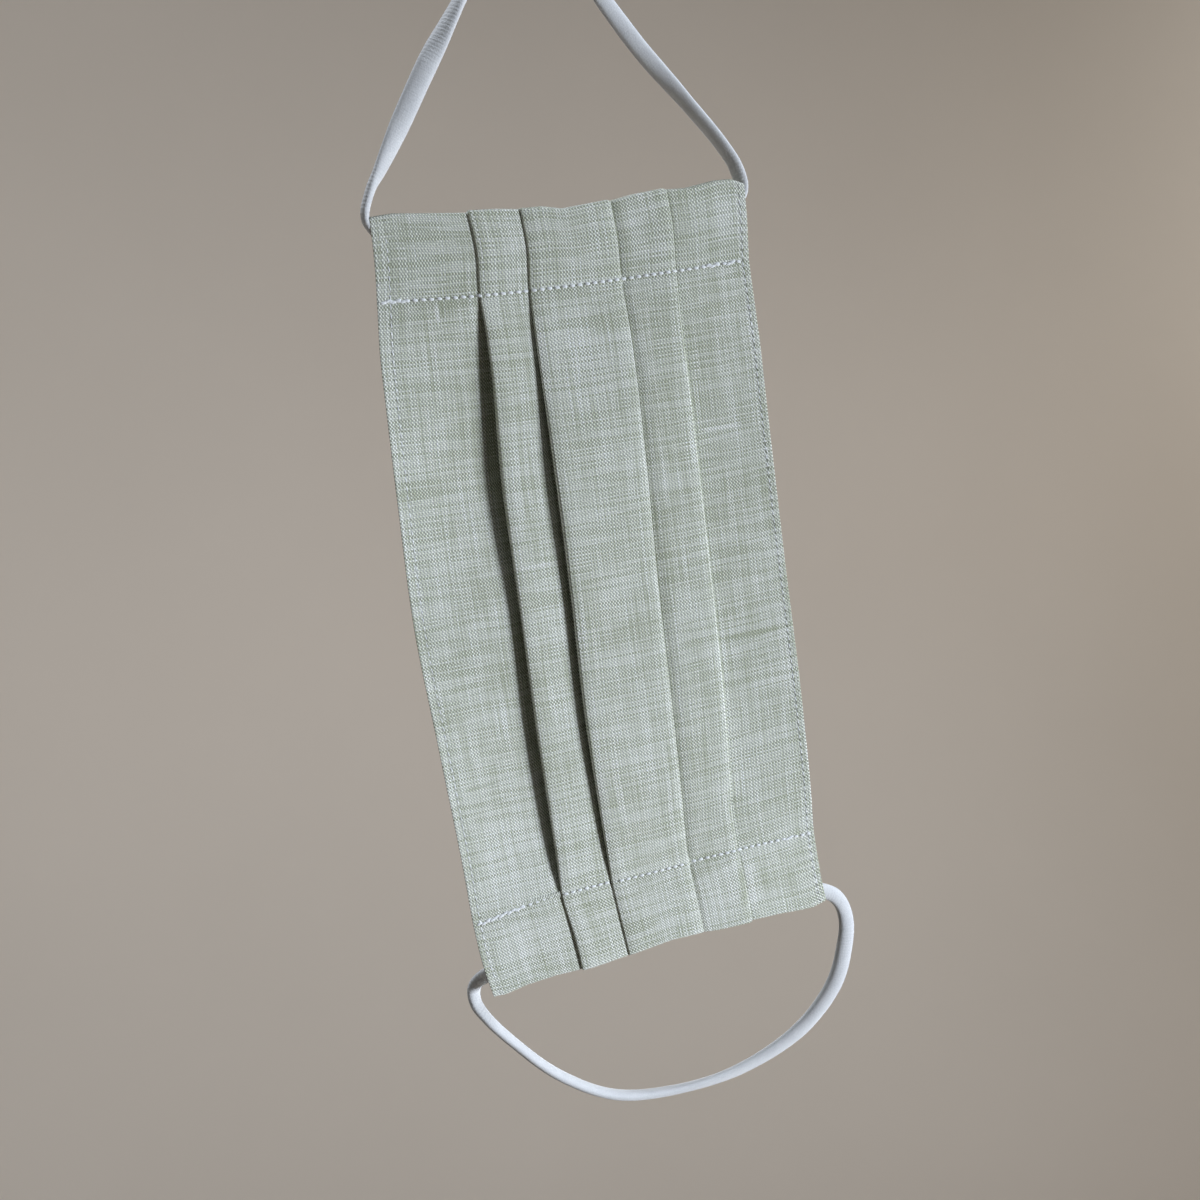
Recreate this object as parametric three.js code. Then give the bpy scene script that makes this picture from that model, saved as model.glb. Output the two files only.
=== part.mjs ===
// Pleated linen face mask, hanging by one of its two elastic ear loops.
// Millimetres, +Z up. The origin is the hang point: the inside top of the upper ear loop.
// The panel's long side hangs down -Z, its outer face looks towards -Y and +X is to its right.

import * as THREE from 'three';

// Panel: one lined cloth, pleated along its length, with both ends folded to the back as casings
const PANEL_LENGTH = 190;
const HANG_DROP = 62; // hang point down to the panel's top edge
const CLOTH = 1.0; // wall thickness of the lined cloth
const LAYER_GAP = 0.2; // air between the pressed layers of a pleat
const TUCK_DEPTH = 7; // how far a pleat's tuck reaches under its strip
const STRIP_MARGIN = 0.9; // room that a strip keeps from the folds beside it
const OPEN_ROUNDING = 0.4; // added to the radius of a fold that stands open
const CENTRE_DIP = 0.6; // how far the centre strip sinks between its two folds

// Casings: the tunnel at each end that an ear loop runs through
const CASING_DEPTH = 19.5; // end edge to the seam that closes the casing
const FLAP_LAP = 2; // flap left past the seam
const FLAP_GAP = 0.3; // air between the flap and the back of the panel at the seam
const TUNNEL_HALF_HEIGHT = 1.7;
const TUNNEL_FLOOR = 8.5; // depth below the end edge where the flap starts to close

// Ear loops: soft flat elastic with an oval section
const ELASTIC_WIDTH = 5;
const ELASTIC_THICKNESS = 2.7;
const ELASTIC_SIDES = 10;
const STEPS_PER_ROW = 2; // elastic sections for each row of a route

// Facets: steps round a fold and round a turned end, places of the points across each strip as
// shares of its width, and places of the sections along the flap and along half of the front
const FOLD_STEPS = 3;
const TURN_STEPS = 6;
const OUTER_STRIP_SHARES = [0, 0.35, 0.7];
const RAMP_SHARES = [0, 0.35, 0.65, 1];
const CENTRE_SHARES = [0, 0.5, 1];
const FLAP_SHARES = [1, 0.62, 0.3, 0];
const FRONT_FALLS = [22, 25, 28.5, 32.5, 38, 48, 68, PANEL_LENGTH / 2];

const LINEN = { color: 0xb2bab6, roughness: 0.92, metalness: 0 };
const ELASTIC = { color: 0xe3e6ea, roughness: 0.85, metalness: 0 };

// Distances worked out from the sizes above
const LAYER_PITCH = CLOTH + LAYER_GAP;
const FOLD_RADIUS = LAYER_PITCH / 2;
const TOP_LAYER = 2 * LAYER_PITCH; // the visible strip lies on two layers of its own tuck
const BACK_LAYER_RADIUS = TUNNEL_HALF_HEIGHT + CLOTH / 2;
const TURN_FALL = TUNNEL_HALF_HEIGHT + CLOTH + LAYER_PITCH; // end edge to the axis of the turned end

// Cross-sections from the top edge down. fall is the distance below the top edge, the named
// columns are places across the width, and open is how far the pleats stand open, from 0 to 1.
const SECTIONS = [
  { fall: 0, left: -46.6, fold1: -23.4, fold2: -11.1, fold3: 11.6, fold4: 25.8, right: 46.9, open: 0 },
  { fall: 19.5, left: -47.8, fold1: -22.8, fold2: -10.8, fold3: 12.3, fold4: 26.2, right: 46.4, open: 0 },
  { fall: 40, left: -49.0, fold1: -23.5, fold2: -11.5, fold3: 12.5, fold4: 26.4, right: 46.9, open: 0.85 },
  { fall: 65, left: -50.0, fold1: -24.3, fold2: -11.4, fold3: 12.3, fold4: 26.3, right: 47.1, open: 1 },
  { fall: 95, left: -50.8, fold1: -24.6, fold2: -11.6, fold3: 11.7, fold4: 26.4, right: 47.3, open: 1 },
  { fall: 125, left: -49.6, fold1: -24.7, fold2: -12.0, fold3: 11.6, fold4: 26.0, right: 47.7, open: 1 },
  { fall: 150, left: -48.5, fold1: -24.4, fold2: -11.6, fold3: 11.3, fold4: 25.0, right: 47.4, open: 0.85 },
  { fall: 170.5, left: -48.0, fold1: -24.4, fold2: -11.0, fold3: 11.3, fold4: 24.8, right: 47.5, open: 0 },
  { fall: 190, left: -45.2, fold1: -22.1, fold2: -9.1, fold3: 11.9, fold4: 25.4, right: 48.2, open: 0 },
];

// Pleats from left to right. tuck is the way the tuck runs under the strip from its visible
// fold, +1 to the right and -1 to the left, and stand is how far the fold lifts when open.
const PLEATS = [
  { fold: 'fold1', tuck: 1, stand: 3.0 },
  { fold: 'fold2', tuck: 1, stand: 2.6 },
  { fold: 'fold3', tuck: -1, stand: 1.4 },
  { fold: 'fold4', tuck: -1, stand: 1.4 },
];

// One side of the upper loop, from the middle of the tunnel to the hang point. above is the
// height over the top edge, twist turns the flat of the elastic out of the loop's own plane.
const UPPER_ROUTE = [
  { x: 0, above: -5.2, twist: 0 },
  { x: 26, above: -5.2, twist: 0 },
  { x: 42, above: -4.8, twist: 0 },
  { x: 47.4, above: -4.5, twist: 0 },
  { x: 49.8, above: -1.4, twist: 65 },
  { x: 48.0, above: 3.6, twist: 105 },
  { x: 43, above: 9.8, twist: 135 },
  { x: 31, above: 26.4, twist: 175 },
  { x: 17.4, above: 45.8, twist: 225 },
  { x: 8.2, above: 58.8, twist: 260 },
  { x: 4.2, above: 62.3, twist: 268 },
  { x: 0, above: HANG_DROP + ELASTIC_THICKNESS / 2, twist: 270 },
];

// The lower loop, from the middle of the tunnel to the right and round. below is the depth
// under the bottom edge, back is how far the loop stands behind the tunnel.
const LOWER_ROUTE = [
  { x: 0, back: 0, below: -5.2, twist: 0 },
  { x: 26, back: 0, below: -5.2, twist: 0 },
  { x: 42, back: 0, below: -4.8, twist: 0 },
  { x: 48.4, back: 0, below: -4.2, twist: 0 },
  { x: 53.2, back: 0.2, below: -0.8, twist: 70 },
  { x: 56.4, back: 0.7, below: 5.6, twist: 120 },
  { x: 57.1, back: 1.5, below: 13.2, twist: 165 },
  { x: 53.4, back: 3.5, below: 28.4, twist: 180 },
  { x: 41.8, back: 5.8, below: 40.8, twist: 190 },
  { x: 22, back: 7.7, below: 47.6, twist: 220 },
  { x: 1, back: 7.8, below: 47, twist: 255 },
  { x: -17.3, back: 6.3, below: 41.3, twist: 270 },
  { x: -29.3, back: 4.4, below: 30.5, twist: 275 },
  { x: -40, back: 2, below: 15.4, twist: 275 },
  { x: -46.6, back: 0.8, below: 7, twist: 280 },
  { x: -49.6, back: 0.2, below: 1, twist: 300 },
  { x: -47.4, back: 0, below: -4.2, twist: 360 },
  { x: -42, back: 0, below: -4.9, twist: 360 },
  { x: -26, back: 0, below: -5.2, twist: 360 },
];

const { clamp, degToRad, lerp, smoothstep } = THREE.MathUtils;

// Reads every column of SECTIONS at one fall, on a smooth curve through the rows.
function sectionAt(fall) {
  const row = Math.max(SECTIONS.findLastIndex((section) => section.fall < fall), 0);
  const start = SECTIONS[row];
  const end = SECTIONS[row + 1];
  const before = SECTIONS[row - 1] ?? start;
  const after = SECTIONS[row + 2] ?? end;
  const span = end.fall - start.fall;
  const t = (fall - start.fall) / span;
  const columns = {};
  for (const name of Object.keys(start)) {
    const slopeIn = ((end[name] - before[name]) / (end.fall - before.fall)) * span;
    const slopeOut = ((after[name] - start[name]) / (after.fall - start.fall)) * span;
    columns[name] =
      start[name] * (1 + 2 * t) * (1 - t) ** 2 +
      slopeIn * t * (1 - t) ** 2 +
      end[name] * t * t * (3 - 2 * t) +
      slopeOut * t * t * (t - 1);
  }
  columns.open = clamp(columns.open, 0, 1);
  return columns;
}

// A half circle of cloth that joins two layers at a fold, rising outwards. side is the way it bulges.
function foldArc(across, depth, radius, side) {
  const arc = [];
  for (let i = 0; i <= FOLD_STEPS; i += 1) {
    const turn = (Math.PI * i) / FOLD_STEPS;
    const bulge = side * radius * Math.sin(turn);
    const rise = radius * (1 - Math.cos(turn));
    arc.push(new THREE.Vector2(across + bulge, depth + rise));
  }
  return arc;
}

// One pleat from the strip on its left to the strip on its right: in to the tip of the tuck,
// back to the visible fold and out on top, or the same in reverse for a tuck that runs left.
// A fold that stands open is lifted off the strip below and is rounder than a pressed one.
function pleatPath(fold, tuck, lift, open) {
  const edgeRadius = FOLD_RADIUS + OPEN_ROUNDING * open;
  const tip = foldArc(fold + tuck * (TUCK_DEPTH - FOLD_RADIUS), 0, FOLD_RADIUS, tuck);
  const edge = foldArc(fold + tuck * edgeRadius, LAYER_PITCH + lift, edgeRadius, -tuck);
  const under = tip.at(-1).clone().lerp(edge[0], 0.5);
  const over = edge.at(-1).clone().lerp(new THREE.Vector2(fold + tuck * TUCK_DEPTH, TOP_LAYER), 0.5);
  const path = [...tip, under, ...edge, over];
  return tuck > 0 ? path : path.reverse();
}

// A strip between two places across the width, with its depth as a function of the share crossed.
function stripPath(from, to, shares, depthAt) {
  return shares.map((share) => new THREE.Vector2(lerp(from, to, share), depthAt(share)));
}

// Centre line of the whole cross-section, left edge to right edge, as (across, depth) where
// depth is measured outwards from the middle of the back layer.
function sectionPath(at) {
  const [pleat1, pleat2, pleat3, pleat4] = PLEATS.map((pleat) =>
    pleatPath(at[pleat.fold], pleat.tuck, pleat.stand * at.open, at.open),
  );
  const reach = TUCK_DEPTH + STRIP_MARGIN;
  const flat = () => 0;
  const rise = (share) => TOP_LAYER * smoothstep(share, 0, 1);
  const fall = (share) => TOP_LAYER - rise(share);
  const dip = (share) => TOP_LAYER - CENTRE_DIP * Math.sin(Math.PI * share);
  return [
    ...stripPath(at.left, at.fold1, OUTER_STRIP_SHARES, flat),
    ...pleat1,
    ...stripPath(at.fold1 + reach, at.fold2 - STRIP_MARGIN, RAMP_SHARES, fall),
    ...pleat2,
    ...stripPath(at.fold2 + reach, at.fold3 - reach, CENTRE_SHARES, dip),
    ...pleat3,
    ...stripPath(at.fold3 + STRIP_MARGIN, at.fold4 - reach, RAMP_SHARES, rise),
    ...pleat4,
    ...stripPath(at.right, at.fold4, OUTER_STRIP_SHARES, flat).reverse(),
  ];
}

// Moves each point of a path along its own normal.
function offsetPath(path, distance) {
  return path.map((point, i) => {
    const before = path[Math.max(i - 1, 0)];
    const after = path[Math.min(i + 1, path.length - 1)];
    const along = after.clone().sub(before).normalize();
    return new THREE.Vector2(point.x - along.y * distance, point.y + along.x * distance);
  });
}

// How far the turned ends sink in the pleated middle, so that the end edges stay nearly level.
function endSink(across, at) {
  const fromLeft = smoothstep(across, at.left, at.fold1);
  const fromRight = 1 - smoothstep(across, at.fold4, at.right);
  return LAYER_PITCH * Math.min(fromLeft, fromRight);
}

// Half of the sweep, from the flap's free edge over the turned end to mid-length. fall is
// measured from that end's edge, angle runs round the tunnel from half a turn at the flap to 0
// at the front, and closing is how far the flap has come in to the back of the panel.
function halfStations() {
  const flapFalls = FLAP_SHARES.map((share) => lerp(TUNNEL_FLOOR, CASING_DEPTH, share));
  const flap = [CASING_DEPTH + FLAP_LAP, ...flapFalls].map((fall) => {
    const closed = smoothstep(fall, TUNNEL_FLOOR, CASING_DEPTH);
    return { fall, angle: Math.PI, closing: (2 * TUNNEL_HALF_HEIGHT - FLAP_GAP) * closed };
  });
  const turn = [];
  for (let i = 0; i <= TURN_STEPS; i += 1) {
    turn.push({ fall: TURN_FALL, angle: Math.PI * (1 - i / TURN_STEPS), closing: 0 });
  }
  const frontFalls = [TUNNEL_FLOOR, CASING_DEPTH, ...FRONT_FALLS];
  const front = frontFalls.map((fall) => ({ fall, angle: 0, closing: 0 }));
  return [...flap, ...turn, ...front];
}

// The whole sweep, from the top flap to the bottom flap, which share the station at mid-length.
function panelStations() {
  const top = halfStations().map((station) => ({ ...station, bottom: false }));
  const bottom = halfStations().map((station) => ({ ...station, bottom: true }));
  return [...top, ...bottom.slice(0, -1).reverse()];
}

// Places one (across, depth) point of a station's cross-section in space.
function placePoint(point, station, at) {
  const radius = BACK_LAYER_RADIUS + point.y;
  const atEnd = 1 - smoothstep(station.fall, TURN_FALL, CASING_DEPTH);
  const raised = (LAYER_PITCH - endSink(point.x, at)) * atEnd;
  const fall = station.fall - raised - radius * Math.sin(station.angle);
  const back = -radius * Math.cos(station.angle) - station.closing;
  const drop = station.bottom ? PANEL_LENGTH - fall : fall;
  return new THREE.Vector3(point.x, back, -HANG_DROP - drop);
}

// Closed sheet between an outer and an inner grid of points, grid[station][place across]. The
// diagonals of a layer that runs back to the left are flipped, to lie along those of its neighbours.
function sheetGeometry(outer, inner) {
  const rows = outer.length;
  const columns = outer[0].length;
  const inside = rows * columns;
  const index = [];
  const quad = (a, b, c, d) => index.push(a, b, c, a, c, d);
  const flipped = (a, b, c, d) => index.push(a, b, d, b, c, d);
  for (let row = 0; row < rows - 1; row += 1) {
    const [here, next] = [row * columns, (row + 1) * columns];
    for (let i = 0; i < columns - 1; i += 1) {
      const face = outer[row][i + 1].x < outer[row][i].x ? flipped : quad;
      face(here + i, next + i, next + i + 1, here + i + 1);
      face(inside + here + i, inside + here + i + 1, inside + next + i + 1, inside + next + i);
    }
    const end = columns - 1;
    quad(here, inside + here, inside + next, next);
    quad(here + end, next + end, inside + next + end, inside + here + end);
  }
  const foot = (rows - 1) * columns;
  for (let i = 0; i < columns - 1; i += 1) {
    quad(i, i + 1, inside + i + 1, inside + i);
    quad(foot + i, inside + foot + i, inside + foot + i + 1, foot + i + 1);
  }
  return indexedGeometry([...outer.flat(), ...inner.flat()], index);
}

// Closed ring of oval elastic along a route whose points carry a twist in degrees.
function loopGeometry(route) {
  const curve = new THREE.CatmullRomCurve3(route.map((row) => row.place), true, 'centripetal');
  const points = [];
  const index = [];
  const planeNormal = new THREE.Vector3(0, 1, 0);
  const steps = route.length * STEPS_PER_ROW;
  for (let step = 0; step < steps; step += 1) {
    const t = step / steps;
    const centre = curve.getPoint(t);
    const along = curve.getTangent(t);
    const sideways = along.clone().cross(planeNormal).normalize();
    const normal = sideways.clone().cross(along).normalize();
    const twist = degToRad(twistAt(route, t));
    const flat = sideways.clone().multiplyScalar(Math.cos(twist)).addScaledVector(normal, Math.sin(twist));
    const thin = along.clone().cross(flat);
    for (let side = 0; side < ELASTIC_SIDES; side += 1) {
      const turn = (2 * Math.PI * side) / ELASTIC_SIDES;
      const point = centre.clone().addScaledVector(flat, (ELASTIC_WIDTH / 2) * Math.cos(turn));
      points.push(point.addScaledVector(thin, (ELASTIC_THICKNESS / 2) * Math.sin(turn)));
      const next = (side + 1) % ELASTIC_SIDES;
      const here = step * ELASTIC_SIDES;
      const ahead = ((step + 1) % steps) * ELASTIC_SIDES;
      index.push(here + side, here + next, ahead + next, here + side, ahead + next, ahead + side);
    }
  }
  return indexedGeometry(points, index);
}

// Twist between two route points. The stretch that closes the ring keeps the last row's twist.
function twistAt(route, t) {
  const place = t * route.length;
  const row = Math.floor(place);
  const twist = route[row].twist;
  return lerp(twist, route[row + 1]?.twist ?? twist, place - row);
}

function indexedGeometry(points, index) {
  const geometry = new THREE.BufferGeometry().setFromPoints(points);
  geometry.setIndex(index);
  geometry.computeVertexNormals();
  return geometry;
}

function pleatedPanel() {
  const outer = [];
  const inner = [];
  for (const station of panelStations()) {
    const fall = station.bottom ? PANEL_LENGTH - station.fall : station.fall;
    const at = sectionAt(fall);
    const path = sectionPath(at);
    outer.push(offsetPath(path, CLOTH / 2).map((point) => placePoint(point, station, at)));
    inner.push(offsetPath(path, -CLOTH / 2).map((point) => placePoint(point, station, at)));
  }
  return sheetGeometry(outer, inner);
}

function upperEarLoop() {
  const place = (row, side) => new THREE.Vector3(side * row.x, 0, -HANG_DROP + row.above);
  const right = UPPER_ROUTE.map((row) => ({ place: place(row, 1), twist: row.twist }));
  const inner = UPPER_ROUTE.slice(1, -1).reverse();
  const left = inner.map((row) => ({ place: place(row, -1), twist: row.twist }));
  return loopGeometry([...right, ...left]);
}

function lowerEarLoop() {
  const bottom = -HANG_DROP - PANEL_LENGTH;
  const route = LOWER_ROUTE.map((row) => ({
    place: new THREE.Vector3(row.x, row.back, bottom - row.below),
    twist: row.twist,
  }));
  return loopGeometry(route);
}

function piece(name, geometry, finish) {
  const mesh = new THREE.Mesh(geometry, new THREE.MeshStandardMaterial(finish));
  mesh.name = name;
  return mesh;
}

const mask = new THREE.Group();
mask.name = 'pleated_linen_mask';
mask.add(piece('pleated_panel', pleatedPanel(), LINEN));
mask.add(piece('upper_ear_loop', upperEarLoop(), ELASTIC));
mask.add(piece('lower_ear_loop', lowerEarLoop(), ELASTIC));

export default mask;
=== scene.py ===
"""Looks of a pleated linen face mask that hangs by one of its two elastic ear loops.

Metres, +Z up. The origin is the hang point, the inside top of the upper ear loop. The panel hangs
down -Z, its outer face looks towards -Y and +X is to its right.
"""

import logging
import math
from dataclasses import dataclass
from enum import Enum
from typing import NamedTuple

import bpy
import numpy as np
from mathutils import Matrix, Vector


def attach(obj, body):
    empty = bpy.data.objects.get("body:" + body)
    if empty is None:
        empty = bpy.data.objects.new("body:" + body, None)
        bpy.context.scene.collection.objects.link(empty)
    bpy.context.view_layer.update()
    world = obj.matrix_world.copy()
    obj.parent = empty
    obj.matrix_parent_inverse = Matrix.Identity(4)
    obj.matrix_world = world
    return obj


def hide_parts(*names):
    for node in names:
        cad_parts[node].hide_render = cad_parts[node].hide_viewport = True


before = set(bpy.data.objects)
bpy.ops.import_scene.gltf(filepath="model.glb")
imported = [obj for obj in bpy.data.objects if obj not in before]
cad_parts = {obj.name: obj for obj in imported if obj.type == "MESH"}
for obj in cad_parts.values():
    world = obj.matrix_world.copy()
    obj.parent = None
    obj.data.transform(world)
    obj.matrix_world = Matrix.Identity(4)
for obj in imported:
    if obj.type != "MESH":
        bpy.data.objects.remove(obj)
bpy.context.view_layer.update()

BODY = "root"
LOG = logging.getLogger("linen_mask")


class End(Enum):
    """The two short ends of the panel."""

    TOP = "top"
    BOTTOM = "bottom"


class Tuck(Enum):
    """The way a pleat's tuck runs under its strip from the visible fold."""

    RIGHT = 1
    LEFT = -1


class Side(Enum):
    """The two long edges of the panel."""

    LEFT = "left"
    RIGHT = "right"


class Section(NamedTuple):
    """One cross-section of the panel, at a fall below its top edge.

    left, right and the folds are places across the width. gap1 and gap2 are how far the first
    two pleats stand open there, and open the other two, where 0 is pressed shut.
    """

    fall: float
    left: float
    fold1: float
    fold2: float
    fold3: float
    fold4: float
    right: float
    gap1: float
    gap2: float
    open: float


class Pleat(NamedTuple):
    """One pleat: which way it is tucked, and how it stands where it is open.

    rise is how far the visible fold lifts and low the level of the strip beside it. That strip
    drops behind the fold by press where the pleat is shut and by sink more where it is open, and
    curl is how wide that drop is where the pleat is shut.
    """

    tuck: Tuck
    rise: float
    low: float
    press: float
    sink: float
    curl: float


class Tint(NamedTuple):
    """A place of the linen, in the mask's own frame, that is paler, or darker if tone is below 0."""

    x: float
    z: float
    wide: float
    tall: float
    tone: float


class Hem(NamedTuple):
    """The hem of a long edge: its width at the top and at the bottom, and how far it stands out."""

    top: float
    bottom: float
    rise: float


class NeedleHoles(NamedTuple):
    """The row of holes that a seam's stitches leave.

    share is where the hole lies as a share of the pitch, stretch how long it is along the seam as
    a multiple of its width, and slant how far it leans aside for its length.
    """

    pitch: float
    share: float
    radius: float
    stretch: float
    slant: float


class LoopPoint(NamedTuple):
    """A point of an ear loop, with the width of its elastic there.

    back is how far it lies behind the middle of the tunnel, away how far outside the end edge of
    the panel, and twist is in degrees, 0 where the elastic lies flat in the panel's plane.
    """

    x: float
    back: float
    away: float
    twist: float
    width: float


SECTIONS = (
    Section(0.0000, -0.0457, -0.0229, -0.0103, 0.0118, 0.0262, 0.0469, 0.0, 0.0, 0.0),
    Section(0.0095, -0.0461, -0.0221, -0.0098, 0.0124, 0.0268, 0.0467, 0.0, 0.0, 0.0),
    Section(0.0195, -0.0471, -0.0228, -0.0106, 0.0122, 0.0264, 0.0462, 0.0, 0.0, 0.0),
    Section(0.0300, -0.0482, -0.0226, -0.0109, 0.0125, 0.0263, 0.0466, 0.66, 0.34, 0.5),
    Section(0.0400, -0.0487, -0.0228, -0.0109, 0.0126, 0.0264, 0.0470, 1.03, 0.5, 0.85),
    Section(0.0650, -0.0497, -0.0241, -0.0111, 0.0124, 0.0267, 0.0474, 1.33, 1.28, 1.0),
    Section(0.0950, -0.0505, -0.0242, -0.0112, 0.0117, 0.0267, 0.0480, 0.92, 1.05, 1.0),
    Section(0.1250, -0.0493, -0.0244, -0.0118, 0.0114, 0.0266, 0.0489, 1.08, 1.05, 1.0),
    Section(0.1500, -0.0482, -0.0241, -0.0112, 0.0112, 0.0257, 0.0491, 0.92, 0.75, 0.85),
    Section(0.1600, -0.0479, -0.0240, -0.0108, 0.0111, 0.0252, 0.0490, 0.66, 0.55, 0.5),
    Section(0.1705, -0.0477, -0.0239, -0.0102, 0.0114, 0.0257, 0.0488, 0.06, 0.06, 0.0),
    Section(0.1810, -0.0469, -0.0222, -0.0091, 0.0124, 0.0269, 0.0495, 0.12, 0.03, 0.0),
    Section(0.1900, -0.0453, -0.0213, -0.0081, 0.0132, 0.0276, 0.0506, 0.08, 0.0, 0.0),
)

PLEATS = (
    Pleat(Tuck.RIGHT, 0.0003, -0.0018, 0.0001, 0.0013, 0.0015),
    Pleat(Tuck.RIGHT, 0.0016, 0.0001, 0.0001, 0.0009, 0.0010),
    Pleat(Tuck.LEFT, 0.0015, 0.0009, 0.0005, 0.0004, 0.0020),
    Pleat(Tuck.LEFT, 0.0004, -0.0011, 0.0003, -0.0002, 0.0012),
)

# How far the end edges reach past the panel's length, at places across: (across, reach)
TOP_EDGE = (
    (-0.0457, 0.0010), (-0.0406, 0.0013), (-0.0356, 0.0008), (-0.0231, -0.0003), (-0.0227, 0.0002),
    (-0.0160, -0.0001), (-0.0105, -0.0007), (-0.0101, -0.0006), (-0.0050, -0.0006), (0.0000, -0.0016),
    (0.0116, -0.0007), (0.0120, -0.0011), (0.0180, -0.0001), (0.0260, 0.0006), (0.0264, 0.0003),
    (0.0320, 0.0001), (0.0400, 0.0012), (0.0440, 0.0011), (0.0469, -0.0001),
)
BOTTOM_EDGE = (
    (-0.0453, 0.0013), (-0.0424, 0.0016), (-0.0364, 0.0008), (-0.0283, 0.0006), (-0.0215, 0.0010),
    (-0.0211, 0.0013), (-0.0160, 0.0012), (-0.0083, 0.0009), (0.0040, 0.0001), (0.0130, 0.0006),
    (0.0134, 0.0007), (0.0180, 0.0013), (0.0274, 0.0018), (0.0278, 0.0014), (0.0360, 0.0019),
    (0.0435, 0.0027), (0.0465, 0.0029), (0.0506, 0.0020),
)

# Depth of the casing seams below their own end edge: (across, depth)
TOP_SEAM = ((-0.0480, 0.0182), (-0.0230, 0.0195), (0.0, 0.0198), (0.0230, 0.0194), (0.0480, 0.0187))
BOTTOM_SEAM = (
    (-0.0480, 0.0184), (-0.0370, 0.0198), (-0.0240, 0.0207),
    (0.0, 0.0201), (0.0240, 0.0198), (0.0480, 0.0188),
)

# Where the casing seams were sewn over twice: (from, to), across
TOP_BARS = ((-0.0464, -0.0415), (0.0345, 0.0372), (0.0400, 0.0412))
BOTTOM_BARS = ((-0.0470, -0.0345), (0.0400, 0.0412))

# Paler and darker places: x, z, wide, tall and tone. The narrow ones, about a millimetre, are slubs of
# single yarns, and the pale and dark pair 3 mm wide beside the fourth fold near the bottom edge is painted
# light and shade of a soft crease
TINTS = (
    Tint(0.0370, -0.1750, 0.0240, 0.0013, -0.8),
    Tint(-0.0018, -0.1001, 0.0009, 0.0090, 1.4),
    Tint(-0.0190, -0.1470, 0.0120, 0.0011, 0.4),
    Tint(-0.0400, -0.1990, 0.0140, 0.0012, -0.45),
    Tint(0.0060, -0.1660, 0.0180, 0.0011, -0.4),
    Tint(0.0340, -0.1350, 0.0009, 0.0110, -0.4),
    Tint(0.0345, -0.1208, 0.0140, 0.0011, 1.0),
    Tint(-0.0336, -0.0845, 0.0012, 0.0060, 0.9),
    Tint(-0.0322, -0.0835, 0.0011, 0.0050, -0.7),
    # Painted light and shade of a soft crease at the fourth fold: a pale band and a dark band beside it
    Tint(0.0286, -0.2430, 0.0036, 0.0210, 0.45),
    Tint(0.0258, -0.2420, 0.0030, 0.0200, -0.3),
    Tint(0.0215, -0.0710, 0.0150, 0.0220, 0.3),
    Tint(0.0430, -0.0700, 0.0120, 0.0200, 0.2),
    Tint(0.0, -0.1020, 0.0280, 0.0260, 0.15),
    Tint(-0.0335, -0.2190, 0.0280, 0.0300, 0.3),
    Tint(-0.0400, -0.2420, 0.0150, 0.0220, 0.25),
    Tint(0.0200, -0.2430, 0.0150, 0.0220, 0.3),
    Tint(0.0170, -0.2120, 0.0120, 0.0300, -0.15),
)

UPPER_ROUTE = (
    LoopPoint(0.0, 0.0, -0.0052, 0, 0.0050),
    LoopPoint(0.026, 0.0, -0.0050, 0, 0.0050),
    LoopPoint(0.041, 0.0, -0.0044, 0, 0.0046),
    LoopPoint(0.0452, 0.0003, -0.0036, 18, 0.0042),
    LoopPoint(0.0473, 0.0008, -0.0010, 55, 0.0040),
    LoopPoint(0.0464, 0.0006, 0.0039, 68, 0.0042),
    LoopPoint(0.0431, 0.0002, 0.0097, 70, 0.0043),
    LoopPoint(0.0350, 0.0, 0.0207, 62, 0.0043),
    LoopPoint(0.0254, 0.0, 0.0328, 14, 0.0043),
    LoopPoint(0.0172, 0.0, 0.0448, -14, 0.0046),
    LoopPoint(0.0082, 0.0, 0.0588, -82, 0.0048),
    LoopPoint(0.0042, 0.0, 0.0623, -88, 0.0050),
    LoopPoint(0.0, 0.0, 0.06335, -90, 0.0050),
    LoopPoint(-0.0042, 0.0, 0.0623, -90, 0.0050),
    LoopPoint(-0.0082, 0.0, 0.0588, -88, 0.0050),
    LoopPoint(-0.0175, 0.0, 0.0464, -76, 0.0050),
    LoopPoint(-0.0218, 0.0, 0.0405, -52, 0.0050),
    LoopPoint(-0.0272, 0.0, 0.0330, -8, 0.0049),
    LoopPoint(-0.0349, 0.0, 0.0213, 6, 0.0048),
    LoopPoint(-0.0416, -0.0002, 0.0109, 55, 0.0043),
    LoopPoint(-0.0442, -0.0006, 0.0072, 80, 0.0038),
    LoopPoint(-0.0465, -0.0008, 0.0016, 86, 0.0032),
    LoopPoint(-0.0461, -0.0005, -0.0007, 80, 0.0031),
    LoopPoint(-0.0438, 0.0, -0.0030, 30, 0.0036),
    LoopPoint(-0.040, 0.0, -0.0042, 0, 0.0044),
    LoopPoint(-0.026, 0.0, -0.0050, 0, 0.0050),
)
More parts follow.
